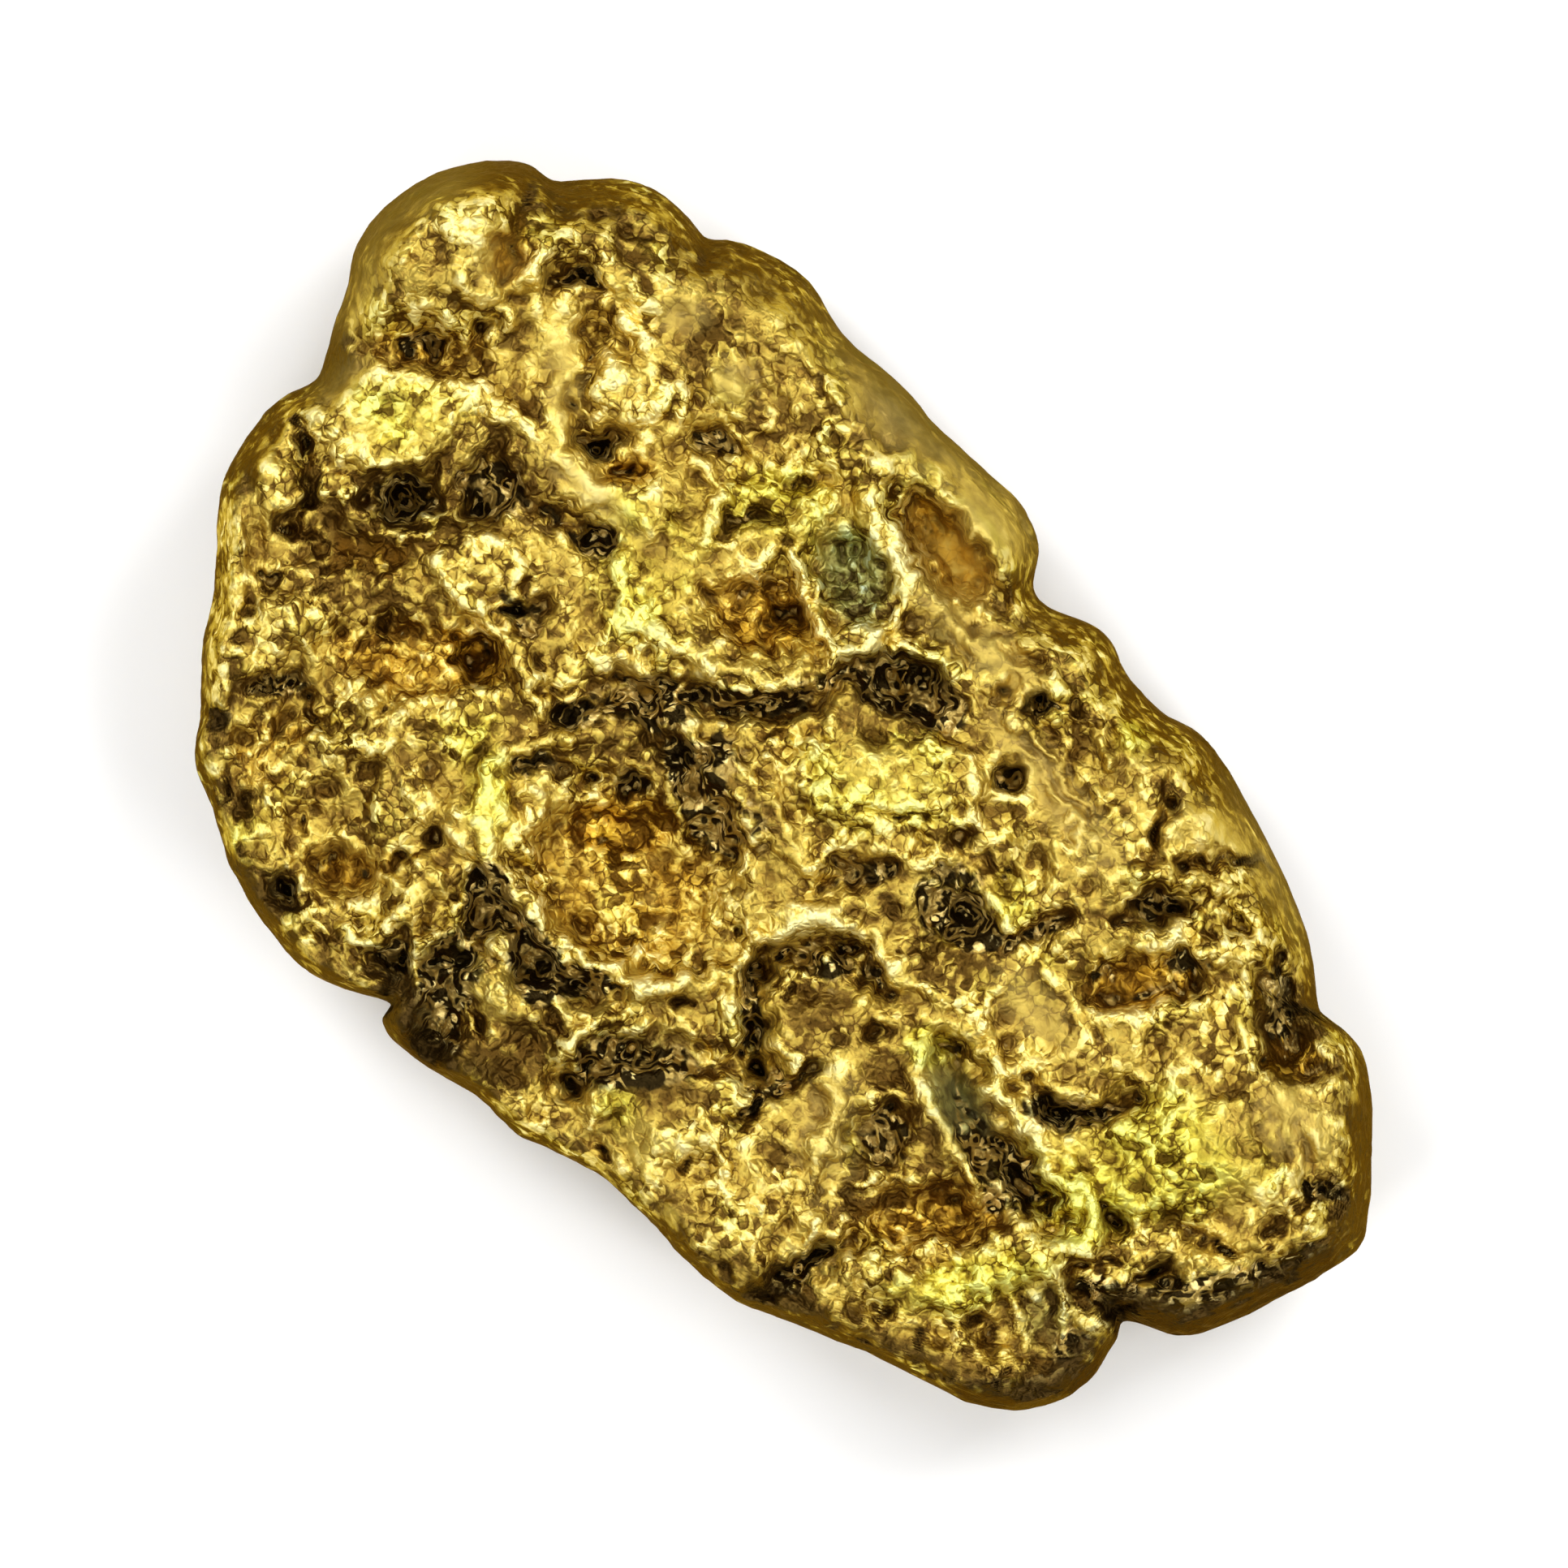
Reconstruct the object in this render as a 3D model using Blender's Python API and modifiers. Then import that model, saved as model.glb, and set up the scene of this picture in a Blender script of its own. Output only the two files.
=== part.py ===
"""A gold nugget, one crinkled, water-worn piece of native gold lying on its flatter side.

The nugget is a closed ball whose equator is drawn out to the nugget's outline. Its upper and
lower skins are then raised and sunk by named forms: swells, knobs and hollows (Mound), and
crests, folds and grooves (Crest). A voxel remesh evens the skin, and a decimation leaves the
facets that carry the relief.

Places are read on a plan map seen from above, east to the right and south downwards, in map
units. A map unit is a hundredth of a millimetre at the nugget's real length, and heights use
the same unit. The finished nugget lies with its long axis along +X and its feet on z = 0.
"""

import math
from dataclasses import dataclass

import bmesh
import bpy
import numpy as np
from mathutils import Vector, noise

LENGTH = 0.0176  # metres, tip to tip along the long axis
MAP_LENGTH = 1760.0  # the same length on the map
METRES_PER_UNIT = LENGTH / MAP_LENGTH
LONG_AXIS_SOUTH_OF_EAST = math.radians(47.0)
MAP_CENTRE = (965.0, 965.0)  # a place from which the whole outline is in plain sight
MAP_ORIGIN = (930.0, 1032.0)  # under the middle of the nugget's bounding box

# Heights above the surface that the nugget rests on, in map units.
CROWN = 300.0
RIM_HEIGHT = 150.0
RIM_TILT = 40.0  # the rim lies lower along the +Y side by this much, and higher along -Y
BELLY = 26.0  # clearance of the underside between its feet
SIDE_REACH = 480.0  # distance from the long axis at which the tilts above are reached

# Distances from the outline over which the skins round over, in map units.
TOP_ROLL = 62.0
TOP_ROLL_TILT = 36.0  # the top rolls over more widely along the +Y side
UNDER_ROLL = 230.0

# The rim is the nugget's widest line. It wanders up and down, and the sides fold in away from it.
RIM_WANDER_SIZE = 300.0
RIM_WANDER = 42.0
SIDE_FOLD_SIZE = 150.0
SIDE_FOLD_DEPTH = 44.0
SIDE_FOLD_START = 55.0  # height above or below the rim at which the folds have their whole depth
SIDE_FOLD_REACH = 130.0  # distance from the outline at which the folds have died out

CRINKLE_SIZE = 105.0
CRINKLE_HEIGHT = 15.0
RIPPLE_SIZE = 46.0
RIPPLE_HEIGHT = 5.0
BALL_SUBDIVISIONS = 8
REMESH_UNITS = 11.0  # voxel size
FACETS = 9400

OUTLINE = [
    (600, 196), (648, 199), (672, 215), (692, 221), (742, 218), (786, 224), (818, 240),
    (848, 266), (868, 290), (898, 293), (940, 307), (984, 333), (1008, 360), (1026, 392),
    (1052, 424), (1110, 472), (1152, 521), (1190, 556), (1248, 608), (1271, 642),
    (1281, 680), (1274, 722), (1292, 746), (1346, 769), (1371, 792), (1386, 824),
    (1408, 853), (1436, 879), (1468, 895), (1499, 923), (1546, 1002), (1592, 1094),
    (1617, 1170), (1628, 1246), (1654, 1266), (1679, 1296), (1691, 1350), (1691, 1430),
    (1687, 1494), (1672, 1541), (1602, 1588), (1548, 1616), (1498, 1638), (1452, 1646),
    (1388, 1628), (1376, 1650), (1347, 1696), (1306, 1726), (1248, 1738), (1190, 1727),
    (1112, 1688), (1046, 1658), (962, 1625), (906, 1602), (852, 1560), (796, 1500),
    (738, 1448), (672, 1413), (636, 1397), (586, 1350), (534, 1320), (486, 1284),
    (471, 1256), (480, 1236), (420, 1217), (372, 1192), (322, 1136), (284, 1068),
    (262, 998), (240, 936), (247, 872), (249, 794), (264, 728), (268, 628), (278, 582),
    (318, 517), (348, 488), (382, 471), (394, 456), (412, 398), (427, 352), (438, 302),
    (474, 254), (536, 212),
]


@dataclass(frozen=True)
class Crest:
    """A line that stands up from the skin, or a groove where rise is negative.

    left and right are how far its flanks reach, walking along the path as seen from above.
    """

    name: str
    path: tuple
    rise: float
    left: float
    right: float


@dataclass(frozen=True)
class Mound:
    """An oval swell, or a hollow where rise is negative.

    flat is the share of the radii that stays level, and turn is clockwise on the map.
    """

    name: str
    centre: tuple
    radii: tuple
    rise: float
    turn: float = 0.0
    flat: float = 0.0


TOP_SWELLS = [
    Mound("head", (560, 300), (190, 165), 75, -20, 0.2),
    Mound("second lobe", (800, 330), (150, 110), 18, 25),
    Mound("right body", (1390, 1060), (260, 210), 40, 40),
    Mound("middle", (1010, 900), (330, 220), 30, 20),
    Mound("lower right lobe", (1510, 1400), (190, 170), 26),
    Mound("thin left lobe", (350, 1010), (170, 260), -42, -15),
    Mound("lower tip", (1270, 1640), (190, 110), -52),
    Mound("lower left flank", (700, 1380), (260, 110), -38, 40),
]

HEAD = [
    Mound("crown lump", (572, 268), (62, 48), 22, 0, 0.3),
    Crest("head furrow", ((652, 190), (655, 240), (636, 285), (628, 330), (645, 362)), -26, 26, 26),
    Mound("furrow pocket", (630, 318), (36, 36), -26),
    Crest("arch", ((652, 350), (675, 315), (702, 288), (738, 300), (768, 350)), 34, 24, 20),
    Mound("cave under the arch", (716, 345), (48, 17), -44),
    Crest("lobe furrow", ((686, 208), (706, 242), (750, 268), (815, 285)), -16, 18, 18),
    Mound("brow hollow", (462, 432), (62, 22), -20, 8),
    Mound("brow pit", (536, 424), (50, 18), -30, 8),
    Mound("temple pit", (602, 402), (20, 18), -20),
    Crest("standing rib", ((706, 362), (702, 430), (690, 490), (702, 552)), 34, 24, 27),
    Crest("rib gutter", ((738, 392), (722, 470), (724, 532)), -32, 22, 20),
    Mound("round boss", (762, 468), (56, 48), 32, 0, 0.2),
    Crest("boss crescent", ((764, 394), (800, 420), (827, 456), (808, 497), (772, 508)), 24, 20, 18),
    Mound("boss pocket", (744, 536), (46, 26), -52),
    Mound("amber pocket", (768, 576), (46, 24), -42, 10),
    Mound("shoulder knob", (905, 466), (48, 40), 24),
    Mound("shoulder dimple", (938, 476), (20, 18), -22),
    Mound("shoulder pit", (882, 540), (40, 24), -30, 15),
    Crest("shoulder edge", ((960, 400), (1008, 438), (1040, 488), (1062, 532), (1050, 566)), 18, 34, 24),
]

PLATE = [
    Mound("bright plate", (498, 512), (112, 68), 42, -12, 0.6),
    Mound("plate dish", (488, 508), (56, 28), -13, -10),
    Mound("pocket below the plate", (500, 608), (62, 50), -76, 0, 0.2),
    Mound("second pocket", (606, 592), (66, 56), -60, 20, 0.2),
    Mound("pocket knob", (428, 612), (36, 38), 26),
    Crest("plate pillar", ((394, 470), (390, 540), (394, 610)), 22, 22, 22),
    Crest("long fold", ((585, 478), (640, 514), (700, 556), (752, 602), (812, 638)), 40, 32, 24),
    Mound("dark slope", (692, 624), (70, 34), -38, 35),
    Mound("dark slope end", (738, 660), (40, 26), -30),
    Mound("tan lump", (824, 598), (58, 34), 20),
    Crest("finger", ((872, 668), (880, 636), (892, 606)), 20, 14, 14),
]

LEFT_LOBE = [
    Mound("long lump", (346, 606), (44, 70), 32, 10, 0.2),
    Crest("lump cleft", ((370, 536), (390, 582), (384, 628), (350, 656)), -30, 16, 16),
    Crest("left rim", ((282, 600), (288, 680), (284, 740), (274, 800), (270, 862)), 20, 24, 20),
    Mound("brown hollow", (452, 676), (92, 46), -30, 10),
    Mound("rim pit", (330, 708), (22, 14), -30, -15),
    Mound("pebbled lump", (350, 766), (64, 44), 22),
    Mound("west pit", (320, 846), (38, 18), -32),
    Mound("west pit end", (372, 846), (26, 22), -26),
    Mound("rim notch", (268, 888), (26, 22), -26),
    Mound("amber basin", (496, 806), (140, 62), -40, 5, 0.3),
    Mound("basin deep", (592, 800), (50, 54), -58, 0, 0.2),
    Mound("facet", (602, 690), (74, 46), 28, 10, 0.3),
    Crest("basin wall", ((540, 688), (598, 744), (646, 790), (656, 842), (694, 888)), 32, 20, 26),
    Mound("slope by the facet", (652, 744), (56, 28), -38, -38),
    Crest("curled crest", ((392, 905), (436, 926), (482, 908), (500, 872)), 18, 17, 17),
    Mound("slit", (458, 942), (40, 16), -24),
    Mound("smooth dip", (336, 904), (72, 36), -20, -40),
    Mound("west boss", (514, 970), (32, 30), 18),
    Mound("fork lump", (580, 1010), (54, 50), 24),
    Crest("south west crest", ((330, 968), (346, 1024), (352, 1064)), 16, 14, 14),
    Mound("south west pit", (348, 1100), (44, 28), -40, 45),
    Mound("south west basin", (428, 1072), (64, 50), -36, 10, 0.2),
    Crest("south west lip", ((384, 1126), (434, 1150), (492, 1132), (536, 1086)), 24, 24, 22),
    Mound("corner pocket", (482, 1184), (44, 34), -44),
    Crest("corner notch", ((500, 1150), (500, 1200), (474, 1244)), -36, 20, 20),
]

BIG_HOLLOW = [
    Mound("great hollow", (772, 1078), (170, 138), -46, 30, 0.45),
    Mound("amber floor", (756, 1004), (76, 50), -32),
    Mound("head pit", (770, 952), (30, 24), -36),
    Crest("head slit", ((622, 936), (676, 930), (722, 948)), -28, 20, 18),
    Crest(
        "west wall",
        ((602, 938), (600, 992), (602, 1042), (628, 1084),
         (658, 1128), (702, 1168), (752, 1202), (806, 1206)),
        46, 30, 24,
    ),
    Crest("north wall", ((602, 944), (640, 914), (690, 900), (724, 878)), 24, 20, 20),
    Crest("west gully", ((600, 1078), (592, 1122), (562, 1180), (544, 1236), (530, 1300)), -52, 40, 40),
    Crest("south gully", ((622, 1112), (652, 1172), (694, 1206), (748, 1222)), -48, 34, 32),
    Crest("gully tongue", ((622, 1156), (618, 1204), (640, 1250)), 24, 24, 24),
    Crest("gully lip", ((572, 1102), (562, 1136), (520, 1160)), 20, 14, 14),
    Crest(
        "east wall",
        ((826, 876), (878, 938), (930, 980), (960, 1032), (990, 1070)),
        34, 32, 20,
    ),
    Crest("east trench", ((812, 886), (846, 940), (858, 1000), (890, 1044)), -50, 36, 40),
    Mound("trench knob", (916, 1006), (42, 46), 22, 20),
    Mound("dark reach", (790, 850), (86, 36), -38, 10),
    Mound("dark reach west", (706, 872), (46, 26), -34, -15),
]

MIDDLE = [
    Crest(
        "brow of the middle",
        ((768, 686), (774, 738), (810, 776), (858, 802),
         (912, 818), (962, 836), (1004, 820), (1044, 794)),
        34, 28, 22,
    ),
    Mound("bright triangle", (800, 770), (58, 32), 22, 35, 0.2),
    Mound("amber cell", (936, 748), (88, 54), -50, 10, 0.3),
    Mound("amber cell deep", (962, 742), (42, 34), -26),
    Crest(
        "long shadow",
        ((764, 826), (832, 836), (876, 856), (926, 868), (992, 858), (1034, 832)),
        -46, 26, 28,
    ),
    Crest(
        "ring wall",
        ((1082, 560), (1070, 600), (1076, 650), (1106, 690), (1113, 742), (1082, 776), (1036, 790),
         (1010, 760), (1000, 710), (984, 670), (992, 630), (1022, 604)),
        30, 20, 20,
    ),
    Mound("ring floor", (1050, 700), (50, 74), -38, -15, 0.35),
    Mound("cavern", (1108, 838), (88, 44), -74, 20, 0.3),
    Mound("cavern end", (1156, 878), (48, 26), -34),
    Crest(
        "cavern roof",
        ((1000, 846), (1040, 806), (1096, 786), (1150, 804), (1188, 842), (1206, 884)),
        18, 18, 14,
    ),
    Mound("bright table", (1088, 968), (136, 70), 26, 0, 0.5),
    Crest("table crest", ((1128, 914), (1180, 920), (1202, 956), (1196, 1004), (1166, 1016)), 18, 16, 16),
    Mound("table foot", (1060, 1066), (68, 30), -38, 8),
    Mound("dark pocket", (1176, 1118), (58, 48), -52, 15),
    Crest("pocket wall", ((1206, 1078), (1224, 1120), (1248, 1156)), 26, 18, 15),
    Crest("crack", ((1246, 1160), (1288, 1142), (1322, 1126)), -28, 11, 11),
    Mound("keyhole", (1240, 958), (25, 26), -66, 0, 0.4),
    Crest(
        "east fold",
        ((1226, 846), (1262, 900), (1286, 944), (1322, 994), (1352, 1044)),
        22, 22, 22,
    ),
    Mound("fold eye", (1240, 852), (18, 24), -24),
]

NORTH_EAST = [
    Mound("long cell", (1168, 672), (118, 50), -76, 50, 0.35),
    Crest(
        "cell west wall",
        ((1086, 572), (1088, 632), (1114, 686), (1148, 742), (1194, 792), (1244, 830), (1296, 852)),
        28, 25, 25,
    ),
    Crest(
        "cell east wall",
        ((1098, 568), (1148, 574), (1186, 618), (1218, 664), (1252, 708), (1268, 756)),
        26, 22, 24,
    ),
    Mound("outer lobe", (1226, 640), (76, 34), 14, 50),
    Crest("cross fold", ((1188, 774), (1240, 780), (1288, 806), (1304, 858)), 18, 18, 18),
    Mound("east slit", (1288, 872), (42, 16), -40, 5),
    Mound("fan hollow", (1334, 912), (60, 42), -28),
    Crest("fan rib west", ((1298, 876), (1308, 920), (1306, 950)), 14, 12, 12),
    Crest("fan rib", ((1334, 856), (1350, 900), (1362, 946)), 18, 13, 13),
    Crest("fan rib east", ((1370, 866), (1386, 918), (1392, 950)), 16, 13, 13),
]

EAST = [
    Mound("east dome", (1482, 1018), (62, 40), 18),
    Crest("dome crease", ((1446, 984), (1424, 1026), (1416, 1056)), -20, 14, 14),
    Crest("edge crease", ((1452, 1068), (1502, 1056), (1556, 1064)), -24, 12, 12),
    Mound("north pocket", (1426, 1118), (72, 38), -54, -12, 0.25),
    Crest("north pocket lip", ((1330, 1118), (1376, 1076), (1440, 1072), (1486, 1092)), 18, 18, 18),
    Crest(
        "small ring",
        ((1496, 1092), (1552, 1098), (1568, 1140), (1532, 1168), (1484, 1168)),
        18, 20, 20,
    ),
    Mound("small ring floor", (1524, 1130), (32, 26), -22),
    Mound("south pocket", (1410, 1214), (104, 46), -46, -12, 0.45),
    Mound("south pocket dark end", (1464, 1182), (44, 17), -28, 5),
    Crest("south pocket ripple", ((1356, 1258), (1420, 1238), (1492, 1216)), 14, 14, 14),
    Mound("edge cell", (1582, 1282), (52, 88), -56, -20, 0.3),
    Mound("edge cell head", (1570, 1200), (38, 44), -44),
    Crest(
        "edge cell wall",
        ((1534, 1176), (1528, 1240), (1546, 1292), (1578, 1344), (1622, 1404), (1656, 1436)),
        22, 26, 24,
    ),
    Mound("edge lump", (1654, 1330), (36, 70), 16),
    Mound("edge slit", (1632, 1466), (48, 17), -30, 5),
]

SOUTH = [
    Crest("south fold", ((696, 1290), (740, 1250), (790, 1220), (850, 1200), (890, 1186)), 28, 20, 20),
    Crest("grey hollow", ((704, 1336), (760, 1302), (822, 1292), (880, 1302), (928, 1316)), -46, 36, 34),
    Mound("glint", (742, 1356), (18, 40), 22, 35),
    Mound("pebbled flank", (812, 1404), (86, 70), 18, 0, 0.2),
    Mound("flank dimple", (836, 1432), (34, 28), -18),
    Crest("fold crease", ((1014, 1298), (960, 1340), (912, 1380)), -32, 14, 14),
    Crest("south buttress", ((1034, 1296), (1032, 1356), (1012, 1424), (1000, 1506)), 24, 26, 26),
    Crest("edge gash", ((1046, 1526), (990, 1560), (934, 1596)), -42, 24, 24),
    Crest(
        "hooked groove",
        ((936, 1306), (926, 1244), (932, 1190), (972, 1160), (1030, 1150), (1072, 1176), (1090, 1210)),
        -56, 26, 28,
    ),
    Crest(
        "hook rim",
        ((902, 1290), (904, 1230), (912, 1180), (952, 1138),
         (1002, 1113), (1052, 1124), (1088, 1166), (1112, 1204)),
        22, 20, 20,
    ),
    Mound("hook island", (1004, 1240), (56, 46), 16),
    Mound("south dimple", (1090, 1266), (26, 24), -30),
    Mound("peak", (1143, 1283), (28, 26), 30),
    Crest(
        "smooth channel",
        ((1186, 1292), (1208, 1356), (1240, 1410), (1276, 1462), (1292, 1500)),
        -64, 40, 38,
    ),
    Crest(
        "channel west wall",
        ((1136, 1304), (1160, 1352), (1190, 1402), (1206, 1448), (1206, 1486)),
        32, 15, 26,
    ),
    Crest(
        "channel east wall",
        ((1222, 1290), (1246, 1346), (1272, 1396), (1312, 1446), (1336, 1490), (1342, 1546)),
        32, 26, 17,
    ),
    Mound("channel deep", (1258, 1462), (46, 30), -34, 45),
    Mound("south cell", (1086, 1402), (54, 62), -48, 20, 0.2),
    Mound("amber trough", (1140, 1496), (130, 54), -52, 0, 0.35),
    Crest(
        "trough lip",
        ((1050, 1560), (1116, 1592), (1190, 1592), (1262, 1562), (1322, 1528)),
        32, 28, 24,
    ),
    Mound("curl", (1356, 1636), (32, 34), 30),
    Crest("curl crevice", ((1398, 1640), (1356, 1600), (1322, 1578), (1334, 1552)), -60, 20, 20),
    Crest("tip streak", ((1192, 1608), (1180, 1668)), 16, 14, 14),
    Crest("tip streak east", ((1246, 1600), (1264, 1664)), 16, 14, 14),
]

SOUTH_EAST = [
    Crest("dark hook", ((1262, 1334), (1300, 1372), (1342, 1374), (1392, 1348)), -46, 22, 22),
    Mound("hook pocket", (1314, 1364), (40, 28), -26),
    Mound("rough table", (1480, 1420), (136, 96), 22, -20, 0.4),
    Mound("table dimple", (1370, 1500), (28, 28), -32),
    Crest("table fold", ((1438, 1500), (1500, 1540), (1556, 1548)), -20, 16, 16),
    Mound("ledge pocket west", (1426, 1572), (52, 26), -44, -10),
    Mound("ledge pocket east", (1562, 1562), (54, 18), -38, -10),
    Crest("ledge", ((1436, 1540), (1494, 1564), (1536, 1560)), 18, 14, 14),
]

TOP_FORMS = [
    *TOP_SWELLS, *HEAD, *PLATE, *LEFT_LOBE, *BIG_HOLLOW, *MIDDLE, *NORTH_EAST, *EAST, *SOUTH,
    *SOUTH_EAST,
]

# The underside: rise is downwards here. The feet reach past the resting plane and are worn flat on it.
UNDER_FORMS = [
    Mound("foot under the head", (600, 520), (125, 100), 62, -30, 0.4),
    Mound("west foot", (600, 1120), (120, 100), 62, 40, 0.4),
    Mound("east foot", (1200, 860), (125, 95), 62, 30, 0.4),
    Mound("south east foot", (1400, 1330), (135, 100), 62, -30, 0.4),
    Mound("belly hollow", (900, 860), (150, 110), -46, 30, 0.2),
    Mound("neck hollow", (800, 560), (110, 80), -40, 60, 0.2),
    Mound("tail hollow", (1130, 1250), (150, 90), -50, 40, 0.3),
    Mound("west cell", (420, 860), (100, 130), -36, 0, 0.2),
    Mound("east cell", (1410, 1060), (90, 70), -44, 20, 0.2),
    Mound("tip cell", (1240, 1520), (110, 60), -40, 10, 0.2),
    Mound("belly pit", (960, 1040), (46, 34), -40, 20, 0.2),
    Mound("tail pit", (1020, 1350), (54, 36), -36, 50, 0.2),
    Mound("south east pit", (1560, 1420), (50, 60), -36, 0, 0.2),
    Crest("belly fold", ((660, 760), (780, 800), (880, 760), (1000, 700)), 30, 34, 28),
    Crest("cross fold", ((760, 1010), (880, 1120), (1000, 1140), (1130, 1080)), 32, 36, 28),
    Crest("tail fold", ((850, 1320), (960, 1400), (1090, 1420), (1220, 1390)), 30, 32, 30),
    Crest("side seam", ((330, 760), (380, 920), (470, 1040)), -26, 26, 26),
    Crest("east seam", ((1330, 900), (1440, 960), (1530, 1080)), -26, 24, 24),
    Crest("head seam", ((480, 330), (600, 380), (740, 360), (860, 420)), -26, 24, 24),
]


def smooth_path(points, steps, closed=False):
    """Points along a Catmull-Rom curve through the given ones."""
    ends = [points[-1], *points, points[0], points[1]] if closed else [points[0], *points, points[-1]]
    guides = np.array(ends, float)
    t = (np.arange(steps) / steps)[:, None]
    stretches = []
    for a, b, c, d in zip(guides, guides[1:], guides[2:], guides[3:]):
        slope = c - a
        bend = 2 * a - 5 * b + 4 * c - d
        twist = 3 * b - a - 3 * c + d
        stretches.append(b + 0.5 * (slope * t + bend * t**2 + twist * t**3))
    if not closed:
        stretches.append(guides[-1:])
    return np.concatenate(stretches)


def distance_to_path(plan, path):
    """How far each plan point is from a path, and whether it lies to the path's left."""
    nearest = np.full(len(plan), np.inf)
    on_left = np.zeros(len(plan), bool)
    for start, end in zip(path, path[1:]):
        along = end - start
        offset = plan - start
        share = np.clip(offset @ along / max(along @ along, 1e-9), 0, 1)
        gap = offset - share[:, None] * along
        distance = np.hypot(gap[:, 0], gap[:, 1])
        closer = distance < nearest
        nearest[closer] = distance[closer]
        on_left[closer] = (along[0] * offset[:, 1] - along[1] * offset[:, 0])[closer] < 0
    return nearest, on_left


def crest_height(form, plan):
    """The height that a crest adds at each plan point."""
    path = smooth_path(form.path, 5)
    reach = max(form.left, form.right)
    near = np.all((plan > path.min(0) - reach) & (plan < path.max(0) + reach), axis=1)
    height = np.zeros(len(plan))
    distance, on_left = distance_to_path(plan[near], path)
    share = np.minimum(distance / np.where(on_left, form.left, form.right), 1)
    height[near] = form.rise * (1 - share**2) ** 2
    return height


def mound_height(form, plan):
    """The height that a mound adds at each plan point."""
    turn = math.radians(form.turn)
    offset = plan - np.array(form.centre, float)
    along = offset[:, 0] * math.cos(turn) + offset[:, 1] * math.sin(turn)
    across = offset[:, 1] * math.cos(turn) - offset[:, 0] * math.sin(turn)
    share = np.hypot(along / form.radii[0], across / form.radii[1])
    fall = np.clip((share - form.flat) / (1 - form.flat), 0, 1)
    return form.rise * (1 - fall * fall * (3 - 2 * fall))


def forms_height(forms, plan):
    """The summed height of all the forms of one skin."""
    height = np.zeros(len(plan))
    for form in forms:
        height += crest_height(form, plan) if isinstance(form, Crest) else mound_height(form, plan)
    return height


def crinkle(points, size, seed):
    """Folded noise from -1 to 1 with sharp crests, at points in map units."""
    shift = Vector((seed, 2.3 * seed, -1.7 * seed))
    values = [noise.noise(Vector(p) / size + shift) for p in points]
    folded = 1 - 2 * np.abs(np.array(values)) * 1.6
    return np.clip(folded, -1, 1)


def rounding(distance, roll):
    """How far a skin has risen from the rim, from 0 at the outline to 1 past the roll."""
    share = np.clip(distance / roll, 0, 1)
    return np.sqrt(np.clip(1 - (1 - share) ** 2, 0, 1))


def to_plan(ball):
    """Plan positions of the ball's points, its equator drawn out to the outline."""
    outline = smooth_path(OUTLINE, 6, closed=True)
    spokes = outline - MAP_CENTRE
    bearing = np.arctan2(spokes[:, 1], spokes[:, 0])
    order = np.argsort(bearing)
    bearing, reach = bearing[order], np.hypot(spokes[:, 0], spokes[:, 1])[order]
    angle = np.arctan2(ball[:, 1], ball[:, 0])
    radius = np.hypot(ball[:, 0], ball[:, 1]) * np.interp(angle, bearing, reach, period=2 * math.pi)
    plan = np.stack([radius * np.cos(angle), radius * np.sin(angle)], axis=1) + MAP_CENTRE
    edge, _ = distance_to_path(plan, np.vstack([outline, outline[:1]]))
    return plan, edge


def along_and_across(plan):
    """Distances along and across the long axis, in map units."""
    east, south = (plan - MAP_ORIGIN).T
    cos, sin = math.cos(LONG_AXIS_SOUTH_OF_EAST), math.sin(LONG_AXIS_SOUTH_OF_EAST)
    return east * cos + south * sin, east * sin - south * cos


def to_metres(plan, height):
    """Positions in the nugget's own frame, in metres, with the long axis along +X."""
    return np.column_stack([*along_and_across(plan), height]) * METRES_PER_UNIT


def side_tilt(plan):
    """From -1 along the nugget's -Y side to 1 along its +Y side."""
    return np.clip(along_and_across(plan)[1] / SIDE_REACH, -1, 1)


def rim_height(plan):
    """The height of the widest line, in map units."""
    places = np.column_stack([plan, np.zeros(len(plan))])
    return RIM_HEIGHT - RIM_TILT * side_tilt(plan) + RIM_WANDER * crinkle(places, RIM_WANDER_SIZE, 5.3)


def skin_heights(ball, plan, edge, rim):
    """The height of each point of the ball's upper and lower skins, in map units."""
    above = ball[:, 2] >= 0
    tilt = side_tilt(plan)
    places = np.column_stack([plan, np.where(above, 0.0, 500.0)])
    rough = CRINKLE_HEIGHT * crinkle(places, CRINKLE_SIZE, 3.1)
    rough += RIPPLE_HEIGHT * crinkle(places, RIPPLE_SIZE, 7.7)
    top = CROWN + forms_height(TOP_FORMS, plan) + rough
    under = BELLY - forms_height(UNDER_FORMS, plan) + rough
    rise = rounding(edge, TOP_ROLL + TOP_ROLL_TILT * tilt)
    drop = rounding(edge, UNDER_ROLL)
    return np.where(above, rim + (top - rim) * rise, rim + (under - rim) * drop)


def fold_sides(plan, edge, heights, rim):
    """Plan positions drawn in towards the middle where the sides fold in, above and below the rim."""
    places = np.column_stack([plan, heights])
    depth = SIDE_FOLD_DEPTH * (0.5 - 0.5 * crinkle(places, SIDE_FOLD_SIZE, 9.1))
    depth *= np.clip(np.abs(heights - rim) / SIDE_FOLD_START, 0, 1)
    depth *= np.clip(1 - edge / SIDE_FOLD_REACH, 0, 1)
    spokes = plan - MAP_CENTRE
    reach = np.maximum(np.hypot(spokes[:, 0], spokes[:, 1]), 1)
    return plan - spokes * (depth / reach)[:, None]


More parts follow.
